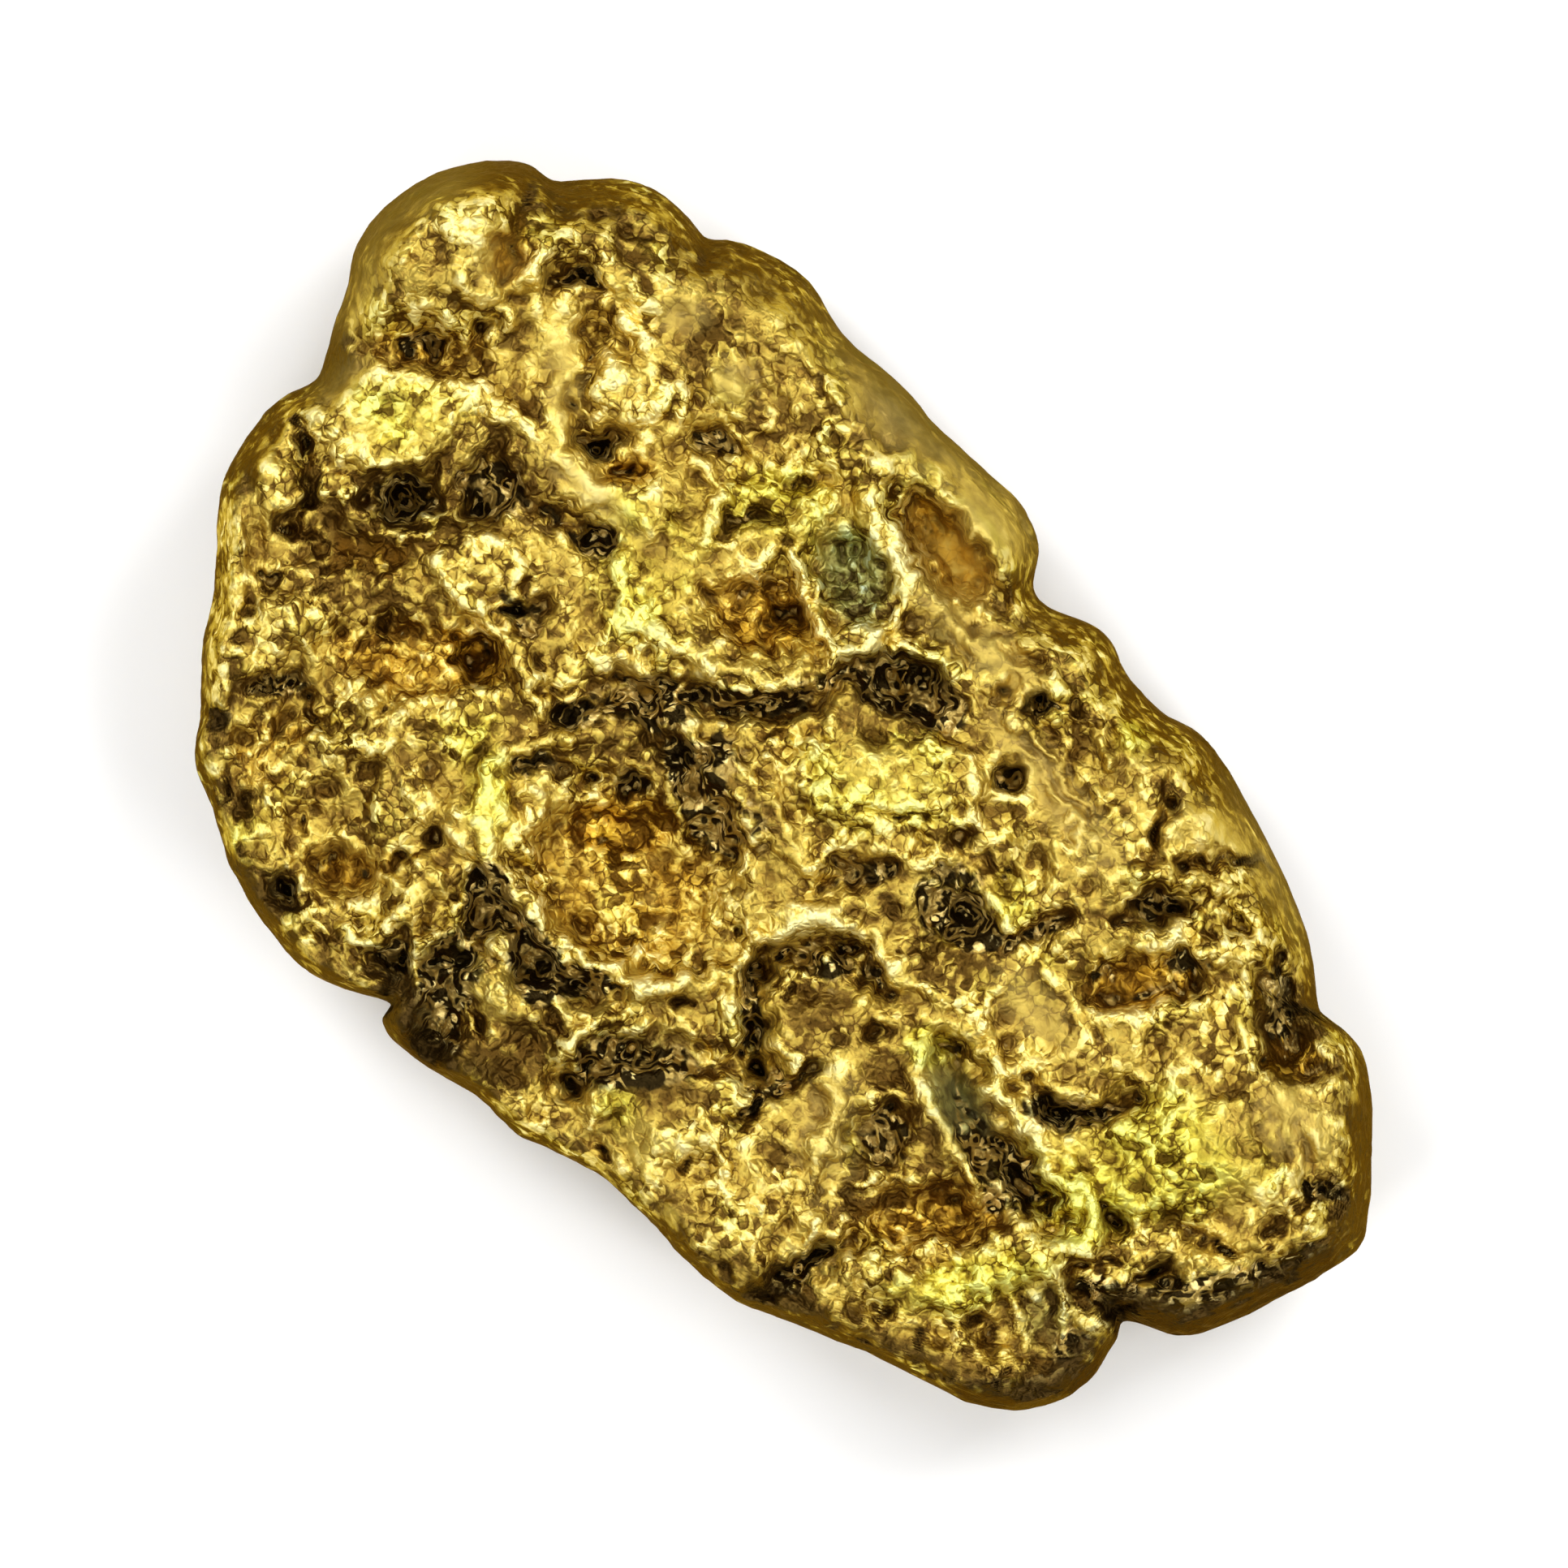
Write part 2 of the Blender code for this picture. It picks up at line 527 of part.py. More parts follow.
def shaped_ball():
    """The closed skin of the nugget as a mesh, fine enough to carry its forms."""
    ball = bmesh.new()
    bmesh.ops.create_icosphere(ball, subdivisions=BALL_SUBDIVISIONS, radius=1)
    mesh = bpy.data.meshes.new("nugget skin")
    ball.to_mesh(mesh)
    ball.free()
    points = np.empty(len(mesh.vertices) * 3)
    mesh.vertices.foreach_get("co", points)
    points = points.reshape(-1, 3)
    # The map runs east and south, so the ball's y is turned over to keep the faces outward.
    points_on_map = points * (1, -1, 1)
    plan, edge = to_plan(points_on_map)
    rim = rim_height(plan)
    heights = np.maximum(skin_heights(points_on_map, plan, edge, rim), 0)
    folded = fold_sides(plan, edge, heights, rim)
    mesh.vertices.foreach_set("co", to_metres(folded, heights).ravel())
    mesh.update()
    return mesh


def add_remesh(obj):
    """Evens out the skin into small equal faces."""
    remesh = obj.modifiers.new("even skin", "REMESH")
    remesh.mode = "VOXEL"
    remesh.voxel_size = REMESH_UNITS * METRES_PER_UNIT
    remesh.adaptivity = 0


def add_decimate(obj, faces_now):
    """Leaves the number of facets that the relief needs."""
    decimate = obj.modifiers.new("facets", "DECIMATE")
    decimate.decimate_type = "COLLAPSE"
    decimate.ratio = FACETS / faces_now
    decimate.use_collapse_triangulate = True


def wear_feet(mesh):
    """Flattens on the resting plane what lies within a hair of it."""
    hair = 1.5 * METRES_PER_UNIT
    for vertex in mesh.vertices:
        if vertex.co.z < hair:
            vertex.co.z = 0.0


def native_gold():
    """The finish of native gold, a little worn."""
    material = bpy.data.materials.new("native gold")
    material.use_nodes = True
    shader = material.node_tree.nodes["Principled BSDF"]
    shader.inputs["Base Color"].default_value = (0.92, 0.60, 0.16, 1)
    shader.inputs["Metallic"].default_value = 1.0
    shader.inputs["Roughness"].default_value = 0.32
    return material


def triangle_count(mesh):
    mesh.calc_loop_triangles()
    return len(mesh.loop_triangles)


def evaluated_mesh(obj):
    """A copy of the object's mesh with its modifiers carried out."""
    bpy.context.view_layer.update()
    graph = bpy.context.evaluated_depsgraph_get()
    return bpy.data.meshes.new_from_object(obj.evaluated_get(graph))


def build_nugget(collection):
    """The nugget as one closed solid."""
    nugget = bpy.data.objects.new("nugget", shaped_ball())
    collection.objects.link(nugget)
    for stage in ("remesh", "decimate"):
        if stage == "remesh":
            add_remesh(nugget)
        else:
            add_decimate(nugget, triangle_count(nugget.data))
        carried_out = evaluated_mesh(nugget)
        nugget.modifiers.clear()
        nugget.data = carried_out
    wear_feet(nugget.data)
    nugget.data.materials.clear()
    nugget.data.materials.append(native_gold())
    nugget.data.name = "nugget"
    nugget.data.set_sharp_from_angle(angle=math.radians(50))
    return nugget


def main():
    for obj in list(bpy.data.objects):
        bpy.data.objects.remove(obj)
    collection = bpy.data.collections.new("gold nugget")
    bpy.context.scene.collection.children.link(collection)
    build_nugget(collection)


main()
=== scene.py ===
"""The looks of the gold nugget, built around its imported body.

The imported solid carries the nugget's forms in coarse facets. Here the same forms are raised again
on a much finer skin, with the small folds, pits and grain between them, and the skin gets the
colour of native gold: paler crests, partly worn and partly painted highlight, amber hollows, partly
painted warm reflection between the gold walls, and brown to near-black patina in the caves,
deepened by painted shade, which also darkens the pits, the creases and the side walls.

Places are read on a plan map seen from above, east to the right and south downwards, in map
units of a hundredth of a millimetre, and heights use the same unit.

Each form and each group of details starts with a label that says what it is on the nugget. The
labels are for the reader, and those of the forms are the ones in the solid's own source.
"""

import logging
import math
from dataclasses import dataclass
from enum import Enum

import bpy
import numpy as np
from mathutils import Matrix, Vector, noise


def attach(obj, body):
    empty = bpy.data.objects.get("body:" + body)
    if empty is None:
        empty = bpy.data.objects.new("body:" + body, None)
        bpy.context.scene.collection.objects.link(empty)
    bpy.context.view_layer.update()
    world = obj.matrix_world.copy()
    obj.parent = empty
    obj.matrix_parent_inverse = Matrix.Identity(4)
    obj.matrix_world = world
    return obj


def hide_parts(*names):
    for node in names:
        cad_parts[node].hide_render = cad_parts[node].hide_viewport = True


Socket = bpy.types.NodeSocket
Value = Socket | float
Colour = Socket | tuple

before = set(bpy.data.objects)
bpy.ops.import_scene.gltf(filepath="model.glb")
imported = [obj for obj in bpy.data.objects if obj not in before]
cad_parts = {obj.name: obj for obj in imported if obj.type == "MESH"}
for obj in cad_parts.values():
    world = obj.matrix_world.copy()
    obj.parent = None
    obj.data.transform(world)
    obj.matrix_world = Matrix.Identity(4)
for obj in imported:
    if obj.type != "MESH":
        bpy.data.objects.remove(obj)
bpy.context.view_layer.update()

LENGTH = 0.0176  # metres, tip to tip along the long axis
MAP_LENGTH = 1760.0  # the same length on the map
METRES_PER_UNIT = LENGTH / MAP_LENGTH
LONG_AXIS_SOUTH_OF_EAST = math.radians(47.0)
MAP_CENTRE = (965.0, 965.0)  # a place from which the whole outline is in plain sight
MAP_ORIGIN = (930.0, 1032.0)  # under the middle of the nugget's bounding box
MAP_SIZE = 1932.0  # side of the square that the camera frames
OUTLINE_STEPS = 6  # points that a smooth curve gets for each stretch of its guide
CREST_STEPS = 5
WRINKLE_STEPS = 4
PEBBLE_REACH = 20.0  # further than any pebble reaches from its place
PIT_REACH = 60.0  # the same for the pits
# How much painted wall shade the very edge of a side wall gets.
EDGE_SHADE = 1.3  # how much of a side wall's tone the very edge has

OUTLINE = [
    (600, 196), (648, 199), (672, 215), (692, 221), (742, 218), (786, 224), (818, 240),
    (848, 266), (868, 290), (898, 293), (940, 307), (984, 333), (1008, 360), (1026, 392),
    (1052, 424), (1110, 472), (1152, 521), (1190, 556), (1248, 608), (1271, 642),
    (1281, 680), (1274, 722), (1292, 746), (1346, 769), (1371, 792), (1386, 824),
    (1408, 853), (1436, 879), (1468, 895), (1499, 923), (1546, 1002), (1592, 1094),
    (1617, 1170), (1628, 1246), (1654, 1266), (1679, 1296), (1691, 1350), (1691, 1430),
    (1687, 1494), (1672, 1541), (1602, 1588), (1548, 1616), (1498, 1638), (1452, 1646),
    (1388, 1628), (1376, 1650), (1347, 1696), (1306, 1726), (1248, 1738), (1190, 1727),
    (1112, 1688), (1046, 1658), (962, 1625), (906, 1602), (852, 1560), (796, 1500),
    (738, 1448), (672, 1413), (636, 1397), (586, 1350), (534, 1320), (486, 1284),
    (471, 1256), (480, 1236), (420, 1217), (372, 1192), (322, 1136), (284, 1068),
    (262, 998), (240, 936), (247, 872), (249, 794), (264, 728), (268, 628), (278, 582),
    (318, 517), (348, 488), (382, 471), (394, 456), (412, 398), (427, 352), (438, 302),
    (474, 254), (536, 212),
]


class Tone(Enum):
    """What a stain does to the gold under it. The value names the mesh attribute that holds it."""

    # Dark patina, together with painted shade in the caves.
    PATINA_AND_SHADE = "patina_and_shade"
    # Warmer gold, partly painted warm reflection in the hollows.
    AMBER = "amber"
    OLIVE = "olive"
    POLISH = "polish"
    # Paler gold, partly painted highlight where the surface catches the light.
    BRIGHT = "bright"
    # Browner gold, partly painted shade on slopes and walls that lie in shade.
    BROWN = "brown"
    LEMON = "lemon"


def oval_share(centre: tuple, radii: tuple, turn: float, plan: np.ndarray) -> np.ndarray:
    """How far out plan points lie in an oval.

    Args:
        centre: The oval's middle on the map.
        radii: Its two radii, in map units.
        turn: Its turn in degrees, clockwise on the map.
        plan: Points on the map, one a row.

    Returns:
        For each point, 0 in the middle and 1 on the oval's edge.
    """
    angle = math.radians(turn)
    offset = plan - np.array(centre, float)
    along = offset[:, 0] * math.cos(angle) + offset[:, 1] * math.sin(angle)
    across = offset[:, 1] * math.cos(angle) - offset[:, 0] * math.sin(angle)
    return np.hypot(along / radii[0], across / radii[1])


def smooth_fall(share: np.ndarray, flat: float) -> np.ndarray:
    """1 inside the flat share of an oval, falling smoothly to 0 at its edge."""
    fall = np.clip((share - flat) / (1 - flat), 0, 1)
    return 1 - fall * fall * (3 - 2 * fall)


def smooth_path(points: tuple, steps: int, closed: bool = False) -> np.ndarray:
    """Points along a Catmull-Rom curve.

    Args:
        points: The points that the curve passes through.
        steps: How many points each stretch between two of them gets.
        closed: Whether the curve returns to its first point.

    Returns:
        The curve's points, one a row.
    """
    ends = [points[-1], *points, points[0], points[1]] if closed else [points[0], *points, points[-1]]
    guides = np.array(ends, float)
    t = (np.arange(steps) / steps)[:, None]
    stretches = []
    for a, b, c, d in zip(guides, guides[1:], guides[2:], guides[3:]):
        slope = c - a
        bend = 2 * a - 5 * b + 4 * c - d
        twist = 3 * b - a - 3 * c + d
        stretches.append(b + 0.5 * (slope * t + bend * t**2 + twist * t**3))
    if not closed:
        stretches.append(guides[-1:])
    return np.concatenate(stretches)


def distance_to_path(plan: np.ndarray, path: np.ndarray) -> tuple:
    """How far plan points are from a path.

    Args:
        plan: Points on the map, one a row.
        path: The path's points, one a row.

    Returns:
        Each point's distance, and whether it lies to the path's left.
    """
    nearest = np.full(len(plan), np.inf)
    on_left = np.zeros(len(plan), bool)
    for start, end in zip(path, path[1:]):
        along = end - start
        offset = plan - start
        share = np.clip(offset @ along / max(along @ along, 1e-9), 0, 1)
        gap = offset - share[:, None] * along
        distance = np.hypot(gap[:, 0], gap[:, 1])
        closer = distance < nearest
        nearest[closer] = distance[closer]
        on_left[closer] = (along[0] * offset[:, 1] - along[1] * offset[:, 0])[closer] < 0
    return nearest, on_left


@dataclass(frozen=True)
class Crest:
    """A line that stands up from the skin, or a groove where rise is negative.

    left and right are how far its flanks reach, walking along the path as seen from above.
    """

    name: str
    path: tuple
    rise: float
    left: float
    right: float

    def height(self, plan: np.ndarray) -> np.ndarray:
        """The height that the crest adds.

        Args:
            plan: Points on the map, one a row.

        Returns:
            One height for each point, in map units.
        """
        path = smooth_path(self.path, CREST_STEPS)
        reach = max(self.left, self.right)
        near = np.all((plan > path.min(0) - reach) & (plan < path.max(0) + reach), axis=1)
        height = np.zeros(len(plan))
        distance, on_left = distance_to_path(plan[near], path)
        share = np.minimum(distance / np.where(on_left, self.left, self.right), 1)
        height[near] = self.rise * (1 - share**2) ** 2
        return height


@dataclass(frozen=True)
class Mound:
    """An oval swell, or a hollow where rise is negative.

    flat is the share of the radii that stays level, and turn is clockwise on the map.
    """

    name: str
    centre: tuple
    radii: tuple
    rise: float
    turn: float = 0.0
    flat: float = 0.0

    def height(self, plan: np.ndarray) -> np.ndarray:
        """The height that the mound adds at each plan point, in map units."""
        return self.rise * smooth_fall(oval_share(self.centre, self.radii, self.turn, plan), self.flat)


@dataclass(frozen=True)
class Stain:
    """An oval patch of one tone, strongest in its middle."""

    tone: Tone
    centre: tuple
    radii: tuple
    strength: float
    turn: float = 0.0

    def amount(self, plan: np.ndarray) -> np.ndarray:
        """How much of the tone each plan point gets, from 0 to 1."""
        return self.strength * smooth_fall(oval_share(self.centre, self.radii, self.turn, plan), 0.25)


def inside_box(plan: np.ndarray, corners: np.ndarray, reach: float) -> np.ndarray:
    """The indices of the plan points within reach of the box round some corners."""
    low, high = corners.min(0) - reach, corners.max(0) + reach
    return np.flatnonzero(np.all((plan > low) & (plan < high), axis=1))


@dataclass(frozen=True)
class Pebbles:
    """Small rounded grains that stand on the skin, each with its place and its radius.

    wear is how much paler they are than the skin round them.
    """

    name: str
    grains: tuple
    rise: float = 9.0
    wear_and_pit_shade: float = 0.4
    squash: float = 0.8

    def cover(self, plan: np.ndarray) -> np.ndarray:
        """Where the grains stand.

        Args:
            plan: Points on the map, one a row.

        Returns:
            How high each is on a grain, from 0 to 1.
        """
        cover = np.zeros(len(plan))
        near = inside_box(plan, np.array(self.grains)[:, :2], PEBBLE_REACH)
        for number, (east, south, radius) in enumerate(self.grains):
            radii = (1.1 * radius, 1.1 * self.squash * radius)
            share = oval_share((east, south), radii, 67.0 * number, plan[near])
            cover[near] = np.maximum(cover[near], np.clip(1 - share**2, 0, 1) ** 0.7)
        return cover


@dataclass(frozen=True)
class Pits:
    """Small holes, each with its place, its two radii and its turn in degrees.

    wear is below 0: painted shade that makes the holes darker than the skin round them.
    """

    name: str
    holes: tuple
    depth: float = 15.0
    wear_and_pit_shade: float = -0.5

    @property
    def rise(self) -> float:
        """What the holes add to the skin's height."""
        return -self.depth

    def cover(self, plan: np.ndarray) -> np.ndarray:
        """Where the holes are.

        Args:
            plan: Points on the map, one a row.

        Returns:
            How deep each is in a hole, from 0 to 1.
        """
        cover = np.zeros(len(plan))
        near = inside_box(plan, np.array(self.holes)[:, :2], PIT_REACH)
        for east, south, wide, deep, turn in self.holes:
            share = oval_share((east, south), (1.2 * wide, 1.2 * deep), turn, plan[near])
            cover[near] = np.maximum(cover[near], smooth_fall(share, 0.35))
        return cover


@dataclass(frozen=True)
class Wrinkles:
    """Thin ridges along paths, or cracks where rise is negative.

    width is how far their flanks reach to each side, and wear is how much paler they are. Below 0,
    it is painted shade that darkens the cracks.
    """

    name: str
    paths: tuple
    rise: float
    width: float
    wear_and_pit_shade: float

    def cover(self, plan: np.ndarray) -> np.ndarray:
        """Where the ridges run.

        Args:
            plan: Points on the map, one a row.

        Returns:
            How high each is on a ridge, from 0 to 1.
        """
        cover = np.zeros(len(plan))
        for guide in self.paths:
            path = smooth_path(guide, WRINKLE_STEPS)
            near = inside_box(plan, path, self.width)
            distance, _ = distance_to_path(plan[near], path)
            cover[near] = np.maximum(cover[near], np.clip(1 - (distance / self.width) ** 2, 0, 1))
        return cover


TOP_SWELLS = [
    Mound("head", (557, 302), (190, 165), 75, -20, 0.2),
    Mound("second lobe", (800, 333), (150, 110), 18, 25),
    Mound("right body", (1390, 1060), (260, 210), 40, 40),
    Mound("middle", (1010, 909), (330, 220), 30, 20),
    Mound("lower right lobe", (1510, 1400), (190, 170), 26),
    Mound("thin left lobe", (350, 1010), (170, 260), -42, -15),
    Mound("lower tip", (1270, 1640), (190, 110), -52),
    Mound("lower left flank", (700, 1380), (260, 110), -38, 40),
]

HEAD = [
    Mound("crown lump", (570, 270), (62, 48), 22, 0, 0.3),
    Crest("head furrow", ((652, 190), (654, 241), (634, 288), (624, 335), (640, 368)), -26, 26, 26),
    Mound("furrow pocket", (627, 322), (36, 36), -26),
    Crest("arch", ((648, 356), (673, 319), (701, 291), (737, 303), (767, 354)), 34, 24, 20),
    Mound("cave under the arch", (714, 350), (48, 17), -44),
    Crest("lobe furrow", ((686, 208), (706, 243), (750, 270), (815, 287)), -16, 18, 18),
    Mound("brow hollow", (459, 435), (62, 22), -20, 8),
    Mound("brow pit", (531, 430), (50, 18), -30, 8),
    Mound("temple pit", (597, 409), (20, 18), -20),
    Crest("standing rib", ((703, 368), (697, 439), (685, 501), (697, 565)), 34, 24, 27),
    Crest("rib gutter", ((735, 399), (718, 481), (720, 544)), -32, 22, 20),
    Mound("round boss", (760, 478), (56, 48), 32, 0, 0.2),
    Crest("boss crescent", ((762, 400), (799, 427), (827, 464), (807, 506), (770, 519)), 24, 20, 18),
    Mound("boss pocket", (741, 548), (46, 26), -52),
    Mound("amber pocket", (766, 586), (46, 24), -42, 10),
    Mound("shoulder knob", (905, 473), (48, 40), 24),
    Mound("shoulder dimple", (938, 483), (20, 18), -22),
    Mound("shoulder pit", (882, 549), (40, 24), -30, 15),
    Crest("shoulder edge", ((960, 404), (1008, 442), (1040, 493), (1062, 537), (1050, 572)), 18, 34, 24),
]

PLATE = [
    Mound("bright plate", (493, 518), (112, 68), 42, -12, 0.6),
    Mound("plate dish", (483, 514), (56, 28), -13, -10),
    Mound("pocket below the plate", (496, 615), (62, 50), -76, 0, 0.2),
    Mound("second pocket", (601, 603), (66, 56), -60, 20, 0.2),
    Mound("pocket knob", (427, 615), (36, 38), 26),
    Crest("plate pillar", ((393, 471), (389, 541), (394, 611)), 22, 22, 22),
    Crest("long fold", ((580, 486), (635, 525), (695, 569), (750, 613), (812, 647)), 40, 32, 24),
    Mound("dark slope", (688, 636), (70, 34), -38, 35),
    Mound("dark slope end", (736, 670), (40, 26), -30),
    Mound("tan lump", (824, 607), (58, 34), 20),
    Crest("finger", ((872, 677), (880, 645), (892, 615)), 20, 14, 14),
]

LEFT_LOBE = [
    Mound("long lump", (346, 606), (44, 70), 32, 10, 0.2),
    Crest("lump cleft", ((370, 536), (389, 583), (384, 629), (350, 656)), -30, 16, 16),
    Crest("left rim", ((282, 600), (288, 680), (284, 740), (274, 800), (270, 862)), 20, 24, 20),
    Mound("brown hollow", (451, 680), (92, 46), -30, 10),
    Mound("rim pit", (330, 708), (22, 14), -30, -15),
    Mound("pebbled lump", (350, 766), (64, 44), 22),
    Mound("west pit", (320, 846), (38, 18), -32),
    Mound("west pit end", (372, 847), (26, 22), -26),
    Mound("rim notch", (268, 888), (26, 22), -26),
    Mound("amber basin", (496, 811), (140, 62), -40, 5, 0.3),
    Mound("basin deep", (592, 809), (50, 54), -58, 0, 0.2),
    Mound("facet", (599, 701), (74, 46), 28, 10, 0.3),
    Crest("basin wall", ((537, 696), (597, 754), (646, 799), (656, 851), (695, 897)), 32, 20, 26),
    Mound("slope by the facet", (651, 754), (56, 28), -38, -38),
    Crest("curled crest", ((392, 906), (436, 928), (482, 911), (500, 876)), 18, 17, 17),
    Mound("slit", (458, 944), (40, 16), -24),
    Mound("smooth dip", (336, 904), (72, 36), -20, -40),
    Mound("west boss", (514, 973), (32, 30), 18),
    Mound("fork lump", (580, 1015), (54, 50), 24),
    Crest("south west crest", ((330, 968), (346, 1024), (352, 1064)), 16, 14, 14),
    Mound("south west pit", (348, 1100), (44, 28), -40, 45),
    Mound("south west basin", (428, 1072), (64, 50), -36, 10, 0.2),
    Crest("south west lip", ((384, 1126), (434, 1150), (492, 1133), (536, 1088)), 24, 24, 22),
    Mound("corner pocket", (482, 1184), (44, 34), -44),
    Crest("corner notch", ((500, 1151), (500, 1200), (474, 1244)), -36, 20, 20),
]

BIG_HOLLOW = [
    Mound("great hollow", (783, 1088), (170, 138), -46, 30, 0.45),
    Mound("amber floor", (767, 1016), (76, 50), -32),
    Mound("head pit", (779, 963), (30, 24), -36),
    Crest("head slit", ((623, 944), (679, 940), (729, 959)), -28, 20, 18),
    Crest(
        "west wall",
        ((602, 945), (601, 998), (604, 1047), (633, 1090),
         (665, 1134), (711, 1174), (761, 1207), (815, 1211)),
        46, 30, 24,
    ),
    Crest("north wall", ((602, 951), (641, 923), (692, 910), (726, 887)), 24, 20, 20),
    Crest("west gully", ((602, 1082), (593, 1125), (562, 1181), (544, 1236), (530, 1300)), -52, 40, 40),
    Crest("south gully", ((626, 1116), (657, 1176), (700, 1210), (755, 1226)), -48, 34, 32),
    Crest("gully tongue", ((625, 1159), (619, 1206), (641, 1251)), 24, 24, 24),
    Crest("gully lip", ((572, 1105), (562, 1138), (520, 1161)), 20, 14, 14),
    Crest(
        "east wall",
        ((828, 885), (882, 948), (933, 990), (962, 1040), (990, 1078)),
        34, 32, 20,
    ),
    Crest("east trench", ((815, 896), (852, 951), (868, 1012), (899, 1054)), -50, 36, 40),
    Mound("trench knob", (921, 1016), (42, 46), 22, 20),
    Mound("dark reach", (791, 859), (86, 36), -38, 10),
    Mound("dark reach west", (707, 881), (46, 26), -34, -15),
]

MIDDLE = [
    Crest(
        "brow of the middle",
        ((768, 695), (774, 747), (810, 785), (858, 811),
         (912, 827), (962, 845), (1004, 829), (1044, 803)),
        34, 28, 22,
    ),
    Mound("bright triangle", (800, 779), (58, 32), 22, 35, 0.2),
    Mound("amber cell", (936, 757), (88, 54), -50, 10, 0.3),
    Mound("amber cell deep", (962, 751), (42, 34), -26),
    Crest(
        "long shadow",
        ((764, 835), (832, 845), (876, 865), (926, 877), (992, 867), (1034, 841)),
        -46, 26, 28,
    ),
    Crest(
        "ring wall",
        ((1082, 565), (1070, 606), (1076, 657), (1106, 696), (1113, 748), (1082, 783), (1036, 799),
         (1010, 769), (1000, 719), (984, 679), (992, 639), (1022, 612)),
        30, 20, 20,
    ),
    Mound("ring floor", (1050, 708), (50, 74), -38, -15, 0.35),
    Mound("cavern", (1108, 844), (88, 44), -74, 20, 0.3),
    Mound("cavern end", (1156, 882), (48, 26), -34),
    Crest(
        "cavern roof",
        ((1000, 855), (1040, 815), (1096, 793), (1150, 808), (1188, 845), (1206, 886)),
        18, 18, 14,
    ),
    Mound("bright table", (1088, 973), (136, 70), 26, 0, 0.5),
    Crest("table crest", ((1128, 918), (1180, 922), (1202, 958), (1196, 1005), (1166, 1018)), 18, 16, 16),
    Mound("table foot", (1059, 1073), (68, 30), -38, 8),
    Mound("dark pocket", (1175, 1122), (58, 48), -52, 15),
    Crest("pocket wall", ((1206, 1079), (1224, 1121), (1248, 1157)), 26, 18, 15),
    Crest("crack", ((1246, 1161), (1288, 1142), (1322, 1126)), -28, 11, 11),
    Mound("keyhole", (1240, 959), (25, 26), -66, 0, 0.4),
    Crest(
        "east fold",
        ((1226, 848), (1262, 901), (1286, 944), (1322, 994), (1352, 1044)),
        22, 22, 22,
    ),
    Mound("fold eye", (1240, 853), (18, 24), -24),
]

NORTH_EAST = [
    Mound("long cell", (1168, 675), (118, 50), -76, 50, 0.35),
    Crest(
        "cell west wall",
        ((1086, 577), (1088, 638), (1114, 692), (1148, 746), (1194, 795), (1244, 831), (1296, 852)),
        28, 25, 25,
    ),
    Crest(
        "cell east wall",
        ((1098, 573), (1148, 577), (1186, 620), (1218, 666), (1252, 709), (1268, 757)),
        26, 22, 24,
    ),
    Mound("outer lobe", (1226, 641), (76, 34), 14, 50),
    Crest("cross fold", ((1188, 777), (1240, 781), (1288, 806), (1304, 858)), 18, 18, 18),
    Mound("east slit", (1288, 872), (42, 16), -40, 5),
    Mound("fan hollow", (1334, 912), (60, 42), -28),
    Crest("fan rib west", ((1298, 876), (1308, 920), (1306, 950)), 14, 12, 12),
    Crest("fan rib", ((1334, 856), (1350, 900), (1362, 946)), 18, 13, 13),
    Crest("fan rib east", ((1370, 866), (1386, 918), (1392, 950)), 16, 13, 13),
]

EAST = [
    Mound("east dome", (1482, 1018), (62, 40), 18),
    Crest("dome crease", ((1446, 984), (1424, 1026), (1416, 1056)), -20, 14, 14),
    Crest("edge crease", ((1452, 1068), (1502, 1056), (1556, 1064)), -24, 12, 12),
    Mound("north pocket", (1426, 1118), (72, 38), -54, -12, 0.25),
    Crest("north pocket lip", ((1330, 1118), (1376, 1076), (1440, 1072), (1486, 1092)), 18, 18, 18),
    Crest(
        "small ring",
        ((1496, 1092), (1552, 1098), (1568, 1140), (1532, 1168), (1484, 1168)),
        18, 20, 20,
    ),
    Mound("small ring floor", (1524, 1130), (32, 26), -22),
    Mound("south pocket", (1410, 1214), (104, 46), -46, -12, 0.45),
    Mound("south pocket dark end", (1464, 1182), (44, 17), -28, 5),
    Crest("south pocket ripple", ((1356, 1258), (1420, 1238), (1492, 1216)), 14, 14, 14),
    Mound("edge cell", (1582, 1282), (52, 88), -56, -20, 0.3),
    Mound("edge cell head", (1570, 1200), (38, 44), -44),
    Crest(
        "edge cell wall",
        ((1534, 1176), (1528, 1240), (1546, 1292), (1578, 1344), (1622, 1404), (1656, 1436)),
        22, 26, 24,
    ),
    Mound("edge lump", (1654, 1330), (36, 70), 16),
    Mound("edge slit", (1632, 1466), (48, 17), -30, 5),
]

